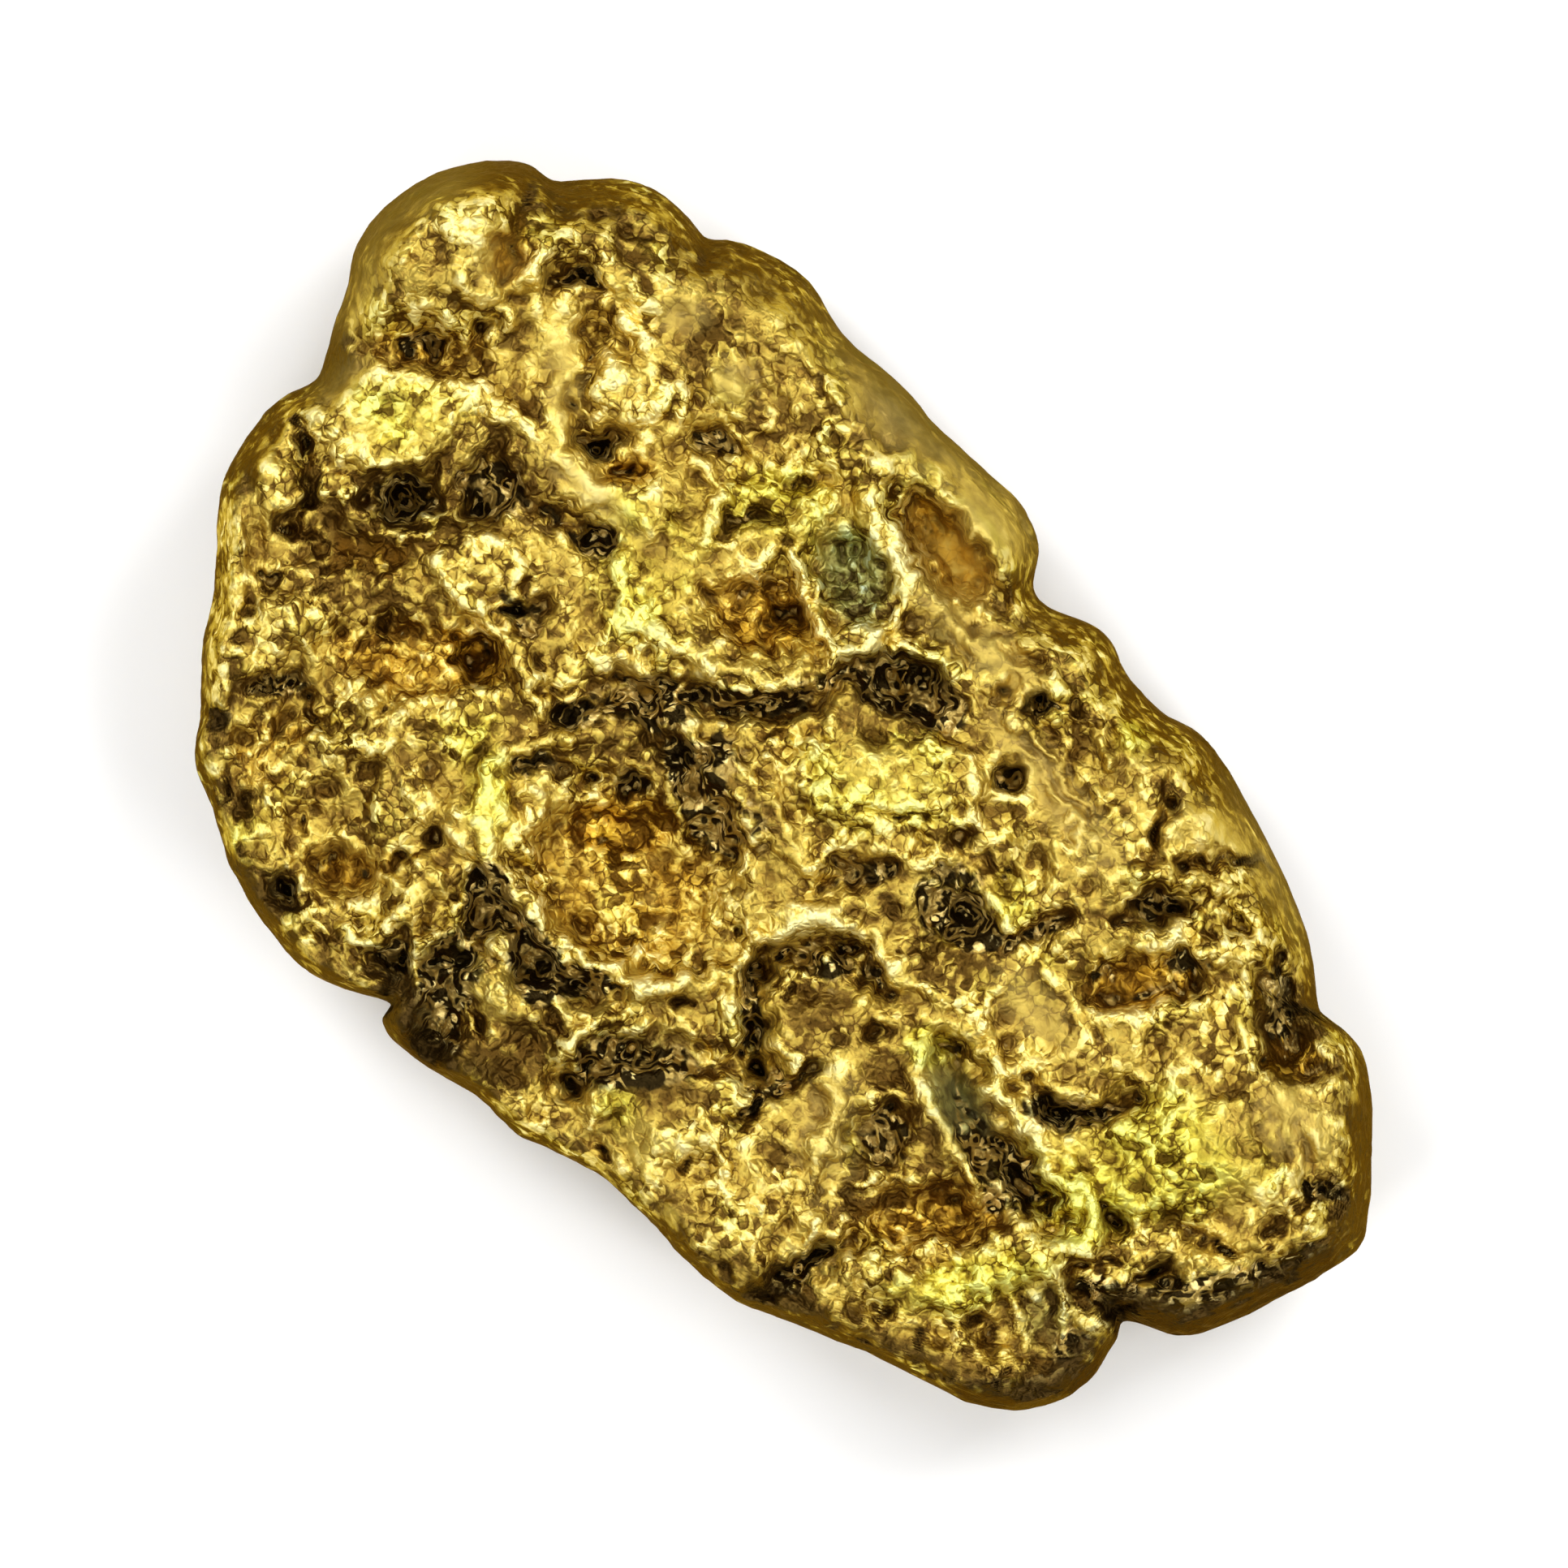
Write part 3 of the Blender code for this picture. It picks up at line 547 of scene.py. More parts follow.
SOUTH = [
    Crest("south fold", ((697, 1291), (744, 1253), (798, 1224), (857, 1205), (895, 1193)), 28, 20, 20),
    Crest("grey hollow", ((704, 1336), (761, 1303), (823, 1293), (880, 1303), (928, 1318)), -46, 36, 34),
    Mound("glint", (742, 1356), (18, 40), 22, 35),
    Mound("pebbled flank", (812, 1404), (86, 70), 18, 0, 0.2),
    Mound("flank dimple", (836, 1432), (34, 28), -18),
    Crest("fold crease", ((1013, 1304), (960, 1341), (912, 1380)), -32, 14, 14),
    Crest("south buttress", ((1032, 1303), (1032, 1357), (1012, 1424), (1000, 1506)), 24, 26, 26),
    Crest("edge gash", ((1046, 1526), (990, 1560), (934, 1596)), -42, 24, 24),
    Crest(
        "hooked groove",
        ((935, 1308), (925, 1250), (933, 1199), (971, 1171), (1028, 1160), (1070, 1185), (1088, 1218)),
        -56, 26, 28,
    ),
    Crest(
        "hook rim",
        ((902, 1292), (905, 1236), (915, 1188), (953, 1148),
         (1000, 1123), (1050, 1134), (1086, 1175), (1110, 1212)),
        22, 20, 20,
    ),
    Mound("hook island", (1002, 1249), (56, 46), 16),
    Mound("south dimple", (1088, 1274), (26, 24), -30),
    Mound("peak", (1139, 1289), (28, 26), 30),
    Crest(
        "smooth channel",
        ((1176, 1295), (1192, 1356), (1228, 1410), (1276, 1462), (1292, 1500)),
        -64, 40, 38,
    ),
    Crest(
        "channel west wall",
        ((1131, 1308), (1144, 1353), (1174, 1402), (1197, 1448), (1205, 1486)),
        32, 15, 26,
    ),
    Crest(
        "channel east wall",
        ((1215, 1291), (1233, 1346), (1267, 1396), (1312, 1446), (1336, 1490), (1342, 1546)),
        32, 26, 17,
    ),
    Mound("channel deep", (1257, 1462), (46, 30), -34, 45),
    Mound("south cell", (1086, 1402), (54, 62), -48, 20, 0.2),
    Mound("amber trough", (1140, 1496), (130, 54), -52, 0, 0.35),
    Crest(
        "trough lip",
        ((1050, 1560), (1116, 1592), (1190, 1592), (1262, 1562), (1322, 1528)),
        32, 28, 24,
    ),
    Mound("curl", (1356, 1636), (32, 34), 30),
    Crest("curl crevice", ((1398, 1640), (1356, 1600), (1322, 1578), (1334, 1552)), -60, 20, 20),
    Crest("tip streak", ((1192, 1608), (1180, 1668)), 16, 14, 14),
    Crest("tip streak east", ((1246, 1600), (1264, 1664)), 16, 14, 14),
]

SOUTH_EAST = [
    Crest("dark hook", ((1255, 1334), (1300, 1372), (1342, 1374), (1392, 1348)), -46, 22, 22),
    Mound("hook pocket", (1314, 1364), (40, 28), -26),
    Mound("rough table", (1480, 1420), (136, 96), 22, -20, 0.4),
    Mound("table dimple", (1370, 1500), (28, 28), -32),
    Crest("table fold", ((1438, 1500), (1500, 1540), (1556, 1548)), -20, 16, 16),
    Mound("ledge pocket west", (1426, 1572), (52, 26), -44, -10),
    Mound("ledge pocket east", (1562, 1562), (54, 18), -38, -10),
    Crest("ledge", ((1436, 1540), (1494, 1564), (1536, 1560)), 18, 14, 14),
]

TOP_FORMS = [
    *HEAD, *PLATE, *LEFT_LOBE, *BIG_HOLLOW, *MIDDLE, *NORTH_EAST, *EAST, *SOUTH,
    *SOUTH_EAST,
]

# The underside: rise is downwards here. The feet reach past the resting plane and are worn flat on it.
UNDER_FORMS = [
    Mound("foot under the head", (600, 520), (125, 100), 62, -30, 0.4),
    Mound("west foot", (600, 1120), (120, 100), 62, 40, 0.4),
    Mound("east foot", (1200, 860), (125, 95), 62, 30, 0.4),
    Mound("south east foot", (1400, 1330), (135, 100), 62, -30, 0.4),
    Mound("belly hollow", (900, 860), (150, 110), -46, 30, 0.2),
    Mound("neck hollow", (800, 560), (110, 80), -40, 60, 0.2),
    Mound("tail hollow", (1130, 1250), (150, 90), -50, 40, 0.3),
    Mound("west cell", (420, 860), (100, 130), -36, 0, 0.2),
    Mound("east cell", (1410, 1060), (90, 70), -44, 20, 0.2),
    Mound("tip cell", (1240, 1520), (110, 60), -40, 10, 0.2),
    Mound("belly pit", (960, 1040), (46, 34), -40, 20, 0.2),
    Mound("tail pit", (1020, 1350), (54, 36), -36, 50, 0.2),
    Mound("south east pit", (1560, 1420), (50, 60), -36, 0, 0.2),
    Crest("belly fold", ((660, 760), (780, 800), (880, 760), (1000, 700)), 30, 34, 28),
    Crest("cross fold", ((760, 1010), (880, 1120), (1000, 1140), (1130, 1080)), 32, 36, 28),
    Crest("tail fold", ((850, 1320), (960, 1400), (1090, 1420), (1220, 1390)), 30, 32, 30),
    Crest("side seam", ((330, 760), (380, 920), (470, 1040)), -26, 26, 26),
    Crest("east seam", ((1330, 900), (1440, 960), (1530, 1080)), -26, 24, 24),
    Crest("head seam", ((480, 330), (600, 380), (740, 360), (860, 420)), -26, 24, 24),
]

DETAILS = [
    Pebbles("crown patch", (
        (538, 279, 14), (556, 269, 12), (577, 259, 14), (589, 241, 10), (583, 277, 14), (596, 264, 9),
        (564, 292, 10), (592, 301, 10), (547, 257, 9), (569, 305, 8),
    ), 8, 0.9),
    Pebbles("brow", (
        (498, 320, 13), (537, 312, 12), (607, 253, 11), (525, 385, 9), (490, 437, 10),
    )),
    Wrinkles("temple ridges", (
        ((571, 347), (593, 364), (601, 386)), ((623, 362), (627, 391), (619, 422)),
        ((660, 354), (663, 385), (677, 410), (675, 429)), ((555, 401), (573, 415), (577, 432)),
    ), 14, 11, 0.7),
    Wrinkles("arch lines", (
        ((646, 353), (688, 296), (705, 293)), ((711, 295), (741, 338), (759, 352)),
        ((725, 284), (747, 309), (763, 340)),
    ), 12, 10, 0.6),
    Pits("head pits", (
        (525, 426, 40, 14, 5), (597, 409, 10, 16, 0), (647, 233, 9, 18, -20), (698, 337, 40, 14, -15),
    )),
    Wrinkles("boss swirl", (
        ((769, 400), (789, 419), (817, 470), (811, 499)), ((775, 354), (802, 389)),
        ((724, 453), (743, 439), (764, 452), (757, 475), (739, 476)), ((732, 495), (763, 504), (793, 497)),
        ((840, 470), (848, 492), (836, 517)),
    ), 14, 12, 0.8),
    Pebbles("boss beads", (
        (739, 457, 12), (755, 461, 10), (789, 517, 10), (799, 540, 12), (791, 558, 10), (845, 488, 13),
        (838, 509, 10), (850, 517, 9),
    ), 9, 0.6),
    Pits("boss pits", (
        (724, 532, 12, 10, 0), (739, 552, 16, 11, 0), (718, 560, 14, 10, 0), (880, 539, 16, 11, 0),
        (900, 554, 12, 10, 0), (862, 541, 12, 8, 0),
    )),
    Wrinkles("shoulder arcs", (
        ((886, 447), (878, 473), (886, 498), (906, 514)), ((930, 436), (946, 460), (938, 485)),
        ((980, 433), (1045, 505), (1042, 528)), ((965, 548), (985, 537), (1005, 542), (1015, 557)),
        ((975, 569), (995, 558), (1010, 567)), ((1005, 580), (1025, 572), (1042, 582)),
    ), 11, 11, 0.4),
    Pebbles("shoulder slope", (
        (950, 507, 9), (985, 507, 9), (940, 528, 9), (1020, 526, 9), (945, 579, 11), (960, 585, 10),
        (950, 601, 9), (810, 611, 10), (830, 621, 9),
    )),
    Pits("shoulder pits", (
        (926, 485, 13, 8, 30), (985, 599, 12, 8, 0),
    ), 16, -0.6),
    Wrinkles("plate ring", (
        (
            (416, 522), (422, 494), (445, 471), (476, 463), (495, 472), (525, 462), (557, 469), (577, 492),
            (555, 520), (489, 567), (449, 570), (422, 565), (413, 547), (416, 522),
        ),
        ((434, 503), (453, 488), (478, 483), (503, 488)), ((437, 533), (458, 540), (481, 531), (497, 515)),
        ((567, 494), (480, 553)), ((434, 552), (466, 557)),
        ((449, 509), (460, 500), (476, 507), (474, 521), (458, 522), (449, 509)),
    ), 13, 11, 0.8),
    Pebbles("pocket crumbs", (
        (426, 589, 9), (438, 603, 10), (424, 613, 9), (602, 668, 10), (627, 641, 10), (640, 627, 9),
        (687, 652, 9),
    ), 9, 0.5),
    Wrinkles("pocket curls", (
        ((476, 591), (495, 583), (515, 596), (519, 614)), ((483, 612), (496, 625), (487, 640)),
        ((516, 626), (530, 639), (526, 658), (512, 663)),
        ((555, 596), (570, 581), (595, 577), (615, 588), (625, 606)),
    ), 9, 8, 0.0),
    Pits("pocket pits", (
        (589, 635, 15, 12, 0), (501, 605, 24, 18, 0), (610, 559, 30, 20, 20), (540, 585, 10, 14, 0),
        (736, 660, 26, 17, 30), (707, 651, 12, 10, 0), (635, 587, 14, 10, 40), (526, 644, 14, 12, 0),
    ), 18, -0.6),
    Wrinkles("fold lines", (
        ((595, 478), (737, 611), (800, 649)), ((635, 556), (750, 638), (800, 649)),
        ((700, 606), (729, 630), (789, 645), (803, 663)),
    ), 9, 10, 0.35),
    Pebbles("left rim beads", (
        (288, 600, 9), (284, 625, 9), (290, 650, 9), (296, 675, 8), (285, 745, 9), (276, 770, 9),
        (270, 800, 9), (274, 825, 9), (266, 850, 9), (278, 866, 8), (286, 700, 8), (284, 722, 8),
    ), 10, 0.9),
    Pebbles("long lump beads", (
        (345, 590, 9),
    )),
    Wrinkles("west cracks", (
        ((372, 520), (385, 553), (388, 591), (372, 619), (350, 636)), ((345, 648), (375, 656), (402, 673)),
    ), -22, 11, -0.8),
    Wrinkles("brown hollow lines", (
        ((430, 702), (497, 666)), ((440, 725), (469, 716), (499, 724), (519, 746)),
        ((360, 741), (420, 710), (450, 708)), ((499, 750), (545, 797)), ((539, 747), (559, 773)),
    ), 10, 9, 0.1),
    Pits("west pits", (
        (480, 766, 11, 14, 0), (380, 746, 18, 10, 40), (402, 729, 12, 8, 0), (334, 710, 22, 9, -18),
        (425, 692, 14, 9, 0), (320, 842, 17, 12, 0), (362, 848, 17, 18, 0), (378, 871, 12, 10, 0),
        (268, 900, 12, 20, 0), (585, 808, 26, 20, -45), (621, 748, 26, 12, -35), (651, 777, 22, 12, 30),
        (646, 723, 10, 18, 0), (672, 824, 12, 16, 0), (692, 855, 16, 10, 0), (460, 944, 22, 12, -10),
        (430, 935, 12, 8, 0),
    )),
    Pebbles("west beads", (
        (529, 729, 10), (542, 689, 9), (310, 770, 9), (335, 790, 9), (352, 802, 9), (375, 771, 9),
        (360, 751, 9),
    ), 9, 0.5),
    Wrinkles("basin ridge", (
        ((486, 852), (556, 805)), ((466, 865), (502, 860)),
    ), 14, 15, 0.8),
    Wrinkles("basin lines", (
        ((410, 804), (452, 773)), ((420, 814), (450, 785), (482, 794)),
        ((558, 714), (630, 799), (673, 894)), ((546, 710), (611, 785)),
    ), 9, 9, 0.3),
    Wrinkles("facet ring", (
        ((537, 698), (561, 675), (593, 662), (628, 680), (642, 706), (595, 752), (537, 698)),
        ((577, 700), (597, 691), (612, 711), (593, 725), (577, 700)),
    ), 12, 10, 0.8),
    Pebbles("facet beads", (
        (567, 690, 8), (586, 679, 8), (606, 677, 8), (622, 692, 8), (597, 709, 9), (583, 722, 8),
        (612, 717, 8), (594, 739, 8), (655, 844, 8), (666, 865, 8),
    ), 9, 0.8),
    Wrinkles("curled lines", (
        ((396, 905), (410, 919), (436, 928), (466, 925), (486, 907), (498, 884), (488, 872)),
        ((410, 882), (425, 868), (450, 868)), ((455, 902), (486, 886)),
        ((430, 907), (455, 914), (472, 906)),
        ((545, 896), (560, 887), (578, 899), (576, 917), (556, 920), (545, 906)), ((325, 940), (368, 888)),
        ((340, 950), (384, 901)), ((310, 930), (330, 904)),
    ), 11, 9, 0.6),
    Wrinkles("fork loops", (
        ((500, 963), (512, 954), (526, 962), (524, 982), (506, 987), (498, 973), (500, 963)),
        ((540, 979), (518, 1005)), ((612, 930), (586, 994), (566, 999)), ((548, 1014), (593, 1051)),
        ((585, 1003), (601, 1020), (604, 1047)),
    ), 12, 10, 0.9),
    Pebbles("fork beads", (
        (570, 1005, 9), (591, 1015, 9), (575, 1034, 9), (600, 1040, 9), (620, 899, 9),
    ), 9, 0.7),
    Wrinkles("south west lines", (
        ((300, 966), (318, 973), (336, 968), (352, 1005)), ((312, 1030), (330, 1020), (346, 1066)),
        ((285, 1040), (300, 1056), (320, 1064), (342, 1062)), ((370, 1080), (410, 1130), (442, 1144)),
        ((440, 1152), (475, 1151), (495, 1127), (513, 1082)), ((430, 1126), (450, 1111), (470, 1075)),
        ((520, 1062), (545, 1079), (550, 1108), (530, 1136)), ((360, 1130), (372, 1150), (392, 1166)),
        ((415, 1165), (430, 1176), (446, 1216)),
    ), 11, 10, 0.6),
    Pits("south west pits", (
        (305, 1000, 17, 12, -20), (277, 975, 8, 12, 0), (355, 1090, 16, 22, -40), (376, 1110, 18, 14, 0),
        (385, 1012, 8, 14, 0), (400, 1060, 16, 10, 0), (530, 1033, 20, 10, -20), (495, 1057, 12, 14, 0),
        (545, 1181, 16, 12, 0), (607, 1128, 30, 24, 0), (591, 1099, 22, 16, 0), (520, 1260, 12, 22, 0),
        (560, 1262, 16, 30, 0), (490, 1200, 18, 16, 0), (475, 1178, 14, 10, 0), (540, 1292, 22, 14, 0),
        (590, 1250, 10, 22, 0),
    ), 18, -0.6),
    Wrinkles("gully crests", (
        ((568, 1110), (552, 1140), (512, 1172)), ((512, 1206), (530, 1208), (546, 1198), (576, 1201)),
        ((560, 1159), (585, 1166), (592, 1187), (570, 1197)),
        ((601, 1152), (615, 1172), (619, 1202), (612, 1227)),
        ((634, 1154), (625, 1182), (627, 1214), (618, 1243)),
    ), 12, 10, 0.6),
    Pebbles("gully beads", (
        (621, 1216, 9), (656, 1251, 9), (672, 1384, 10),
    )),
    Pits("north reach pits", (
        (652, 939, 17, 12, 0), (690, 944, 18, 10, 0), (729, 961, 12, 10, 0), (787, 959, 14, 14, 0),
        (770, 977, 16, 8, 30), (746, 1031, 12, 14, 0), (829, 910, 12, 13, 0), (855, 940, 20, 22, 0),
        (846, 971, 14, 12, 0), (887, 996, 18, 12, 0), (870, 1022, 18, 14, 0), (932, 980, 12, 14, 0),
        (770, 839, 16, 10, 0), (801, 859, 18, 14, 0), (830, 844, 16, 12, 0), (855, 859, 14, 10, 0),
        (821, 879, 16, 12, 0), (792, 881, 14, 10, 0), (759, 859, 12, 8, 0), (701, 879, 16, 12, 0),
        (900, 867, 16, 8, 0), (940, 871, 18, 7, 0), (980, 859, 16, 7, -15), (1010, 841, 16, 8, -30),
        (1040, 824, 14, 8, -30),
    ), 15, -0.6),
    Wrinkles("reach curls", (
        ((778, 841), (795, 829), (813, 835)), ((700, 869), (715, 859), (732, 867)),
        ((691, 894), (707, 903), (724, 889)), ((893, 1021), (911, 1010), (930, 1014)),
        ((907, 1040), (925, 1029), (944, 1038)), ((909, 980), (925, 995), (929, 1014)),
    ), 9, 8, 0.1),
    Wrinkles("great hollow rim", (
        ((643, 983), (656, 974), (673, 982), (674, 1001), (657, 1009), (648, 998)),
        ((628, 1007), (640, 1037), (677, 1083)), ((637, 1072), (700, 1147), (724, 1159)),
        ((776, 1148), (787, 1156), (785, 1172), (773, 1184)), ((699, 1170), (710, 1191), (741, 1197)),
        ((941, 964), (977, 1043)),
    ), 11, 9, 0.5),
    Wrinkles("great hollow wall", (
        ((624, 1072), (657, 1126), (696, 1171)),
    ), 14, 13, 1.0),
    Pebbles("great hollow floor", (
        (831, 1071, 9), (857, 1100, 9), (821, 1121, 9), (849, 1197, 9), (655, 999, 9),
    ), 8, 0.25),
    Pebbles("bright beads", (
        (736, 1010, 12), (776, 937, 9), (795, 925, 9), (779, 1210, 13), (766, 1206, 9), (793, 1204, 9),
        (789, 947, 7), (770, 915, 8), (1323, 1024, 10), (1331, 1038, 10), (1318, 1046, 10),
        (1316, 1008, 6), (1310, 1040, 7), (1332, 1052, 6), (1270, 1030, 8), (1166, 1193, 9),
        (1132, 1286, 13), (1145, 1293, 13), (1142, 1278, 9), (1135, 1304, 10), (1392, 912, 13),
        (1248, 696, 11), (1240, 683, 8), (1475, 1130, 11), (1477, 1143, 9), (1066, 730, 8),
        (1080, 659, 12),
    ), 10, 1.0),
    Wrinkles("south folds", (
        ((701, 1291), (766, 1239), (845, 1202)), ((724, 1253), (762, 1238)), ((685, 1213), (703, 1264)),
        ((746, 1301), (790, 1264)), ((735, 1332), (751, 1307), (773, 1291)),
        ((751, 1344), (742, 1370), (729, 1386)), ((745, 1410), (776, 1441)),
        ((870, 1400), (885, 1420), (891, 1450), (885, 1476)),
    ), 11, 10, 0.6),
    Pits("south pits", (
        (667, 1155, 14, 22, -20), (675, 1198, 20, 24, 0), (728, 1205, 26, 14, 10), (768, 1220, 14, 8, 0),
        (692, 1263, 12, 22, -20), (677, 1247, 10, 14, 0), (643, 1193, 10, 20, 0), (836, 1230, 14, 10, 0),
        (738, 1312, 24, 28, 30), (776, 1297, 24, 14, -10), (821, 1301, 26, 14, 0), (710, 1332, 14, 26, 0),
        (880, 1313, 22, 14, 0), (906, 1302, 10, 12, 0), (840, 1440, 12, 12, 0), (745, 1430, 12, 8, 30),
        (907, 1139, 12, 10, -30), (870, 1525, 14, 12, 0), (900, 1560, 22, 13, 40),
        (970, 1562, 28, 14, -20), (1012, 1546, 24, 14, -25), (985, 1592, 26, 12, 10),
        (940, 1588, 30, 10, 14), (1060, 1606, 20, 14, 0), (1082, 1622, 18, 12, 0), (1040, 1642, 30, 8, 18),
    ), 16, -0.6),
    Pebbles("flank beads", (
        (820, 1390, 9), (835, 1400, 9), (850, 1385, 9), (865, 1370, 9), (880, 1360, 9), (800, 1450, 9),
        (815, 1460, 9), (860, 1480, 9), (880, 1465, 9), (770, 1445, 9), (892, 1450, 9), (886, 1425, 9),
        (900, 1480, 9), (910, 1496, 11), (940, 1490, 9), (925, 1545, 9), (935, 1556, 9), (735, 1370, 10),
        (728, 1383, 9), (746, 1355, 9),
    ), 9, 0.45),
    Wrinkles("buttress lines", (
        ((1020, 1400), (1006, 1420), (984, 1504)), ((1006, 1400), (983, 1455)), ((976, 1440), (955, 1502)),
        ((1002, 1498), (1007, 1520), (994, 1542)), ((1079, 1348), (1099, 1342), (1112, 1347)),
        ((1060, 1461), (1082, 1438)),
    ), 11, 10, 0.6),
    Wrinkles("south crack", (
        ((1001, 1309), (950, 1341), (924, 1372)), ((1246, 1165), (1265, 1150), (1320, 1129)),
        ((1455, 1072), (1465, 1062), (1550, 1062)),
        ((892, 665), (905, 647), (930, 637), (955, 641), (966, 650)),
        ((1345, 1370), (1375, 1362), (1404, 1345)),
    ), -20, 10, -1.0),
    Wrinkles("table lines", (
        ((1135, 924), (1160, 917), (1185, 927), (1198, 947), (1201, 973)),
        ((1045, 996), (1085, 988), (1152, 997)), ((1130, 1013), (1150, 1028), (1150, 1053), (1140, 1068)),
        ((1085, 1034), (1100, 1025), (1118, 1033), (1115, 1052), (1095, 1057), (1084, 1045)),
        ((1050, 1018), (1130, 1019)), ((1155, 942), (1168, 933), (1186, 943)),
        ((975, 913), (1000, 921), (1016, 934)), ((1000, 1069), (1036, 1031)), ((906, 929), (935, 955)),
        ((1190, 987), (1201, 1001), (1190, 1013)),
    ), 13, 10, 0.9),
    Wrinkles("table slit", (
        ((1045, 1007), (1080, 1000), (1146, 1007)),
    ), -16, 7, -0.7),
    Pebbles("table beads", (
        (1070, 951, 9), (1085, 955, 9), (1060, 966, 8), (1100, 969, 9), (1120, 964, 9), (1135, 954, 9),
        (1145, 973, 9), (1075, 980, 8), (1060, 936, 8), (1080, 931, 8), (1110, 944, 8), (1165, 962, 9),
        (1180, 972, 8), (1170, 987, 8), (1155, 1004, 8), (1020, 967, 10), (1005, 977, 9), (1010, 993, 9),
        (990, 968, 8), (1025, 947, 8), (1030, 982, 8), (985, 949, 8), (1000, 934, 8), (1040, 1028, 9),
        (1060, 1035, 8), (1030, 1043, 8), (1075, 1045, 8), (1130, 1043, 9), (1146, 1059, 9),
        (1119, 1066, 8), (918, 955, 9), (929, 961, 8), (893, 945, 8), (945, 929, 8), (960, 944, 8),
        (950, 914, 8),
    ), 9, 0.8),
    Pits("middle pits", (
        (1029, 1063, 14, 12, 0), (1049, 1084, 22, 14, 30), (1075, 1089, 16, 10, 0),
        (1019, 1095, 12, 10, 0), (1101, 1078, 12, 8, 0), (1190, 1037, 12, 20, 0), (1206, 1061, 16, 16, 0),
        (1236, 1066, 14, 10, 0), (1160, 1069, 14, 9, 0), (1144, 1112, 10, 22, 0), (1189, 1113, 20, 18, 0),
        (1215, 1138, 18, 14, 30), (1179, 1147, 24, 12, 0), (1138, 1159, 20, 12, 0),
        (1231, 1162, 20, 10, 0), (1098, 1119, 16, 10, -20), (931, 1199, 14, 12, 0), (926, 1232, 10, 20, 0),
        (935, 1275, 12, 24, 0), (945, 1313, 14, 12, 0), (973, 1173, 20, 12, -20), (998, 1192, 14, 14, 0),
        (1038, 1170, 26, 16, 30), (1064, 1199, 24, 16, 0), (983, 1225, 18, 10, -20),
        (1083, 1273, 18, 14, 0), (1080, 1371, 18, 22, 0), (1060, 1402, 16, 18, 0), (1101, 1400, 18, 20, 0),
        (1076, 1430, 12, 10, 0), (1046, 1470, 22, 10, 0),
    ), 16, -0.6),
    Wrinkles("hook lines", (
        ((951, 1160), (998, 1129), (1028, 1135), (1054, 1150)), ((1058, 1150), (1094, 1195)),
        ((911, 1242), (921, 1234), (925, 1251), (915, 1258), (911, 1242)), ((943, 1274), (981, 1307)),
        ((1215, 1096), (1222, 1122), (1250, 1154)),
        ((1189, 1239), (1205, 1249), (1207, 1265), (1189, 1279)), ((1214, 1239), (1241, 1202)),
        ((1138, 1218), (1169, 1235)),
    ), 13, 11, 0.8),
    Wrinkles("hook curls", (
        ((954, 1196), (984, 1171)), ((963, 1230), (973, 1210), (989, 1200)), ((998, 1212), (1019, 1180)),
        ((1068, 814), (1080, 801), (1096, 801)),
        ((1084, 825), (1090, 844), (1105, 851), (1120, 840), (1126, 819)),
        ((1119, 871), (1130, 860), (1141, 864), (1150, 880)), ((1130, 885), (1150, 890), (1171, 878)),
        ((1145, 854), (1160, 869), (1176, 874)), ((1067, 822), (1072, 837), (1086, 846)),
    ), 10, 8, 0.15),
    Pebbles("hook beads", (
        (1058, 1235, 9), (1089, 1253, 9), (1206, 1261, 9), (1186, 1274, 9), (1040, 1496, 10),
        (1086, 1445, 9), (1075, 1456, 9),
    ), 9, 0.6),
    Wrinkles("channel crests", (
        ((1132, 1336), (1179, 1415), (1190, 1442)), ((1212, 1334), (1255, 1400), (1316, 1462)),
        ((1105, 801), (1130, 805), (1190, 838), (1211, 840)), ((1320, 1518), (1330, 1545), (1321, 1574)),
        ((1334, 1458), (1346, 1475), (1349, 1500), (1340, 1517)),
    ), 13, 13, 1.0),
    Wrinkles("channel lines", (
        ((1153, 1313), (1164, 1346), (1210, 1415)), ((1173, 1302), (1233, 1401)),
        ((1192, 1287), (1207, 1316)),
    ), 7, 9, 0.0),
    Pits("channel pits", (
        (1211, 1420, 22, 22, 0), (1247, 1446, 22, 20, 0), (1262, 1486, 12, 18, 0),
        (1291, 1452, 16, 12, 40), (1205, 1440, 14, 14, 0), (1302, 1480, 10, 16, 0),
        (1255, 1335, 20, 12, 0), (1310, 1370, 26, 14, 0), (1346, 1368, 20, 9, 0), (1298, 1386, 13, 8, 0),
        (1370, 1496, 16, 14, 0), (1430, 1425, 12, 12, 0), (1350, 1560, 18, 12, 0), (1371, 1550, 14, 10, 0),
        (1400, 1582, 26, 14, -20), (1431, 1560, 20, 10, -30), (1340, 1602, 20, 12, 0),
        (1380, 1612, 24, 10, 10),
    ), 16, -0.6),
    Pebbles("rough table beads", (
        (1336, 1345, 9), (1410, 1372, 9), (1446, 1370, 11), (1430, 1400, 9), (1446, 1410, 9),
        (1456, 1426, 9), (1310, 1405, 9), (1350, 1420, 9), (1390, 1468, 10), (1400, 1480, 9),
        (1396, 1500, 9), (1405, 1515, 9), (1410, 1530, 9), (1385, 1526, 9), (1336, 1530, 9),
        (1500, 1360, 12), (1506, 1349, 9), (1490, 1371, 9), (1550, 1370, 10), (1562, 1381, 10),
        (1561, 1396, 10), (1480, 1315, 9), (1496, 1321, 9), (1566, 1460, 10), (1555, 1476, 10),
        (1549, 1465, 9), (1540, 1500, 11), (1539, 1489, 9), (1556, 1491, 9), (1465, 1475, 9),
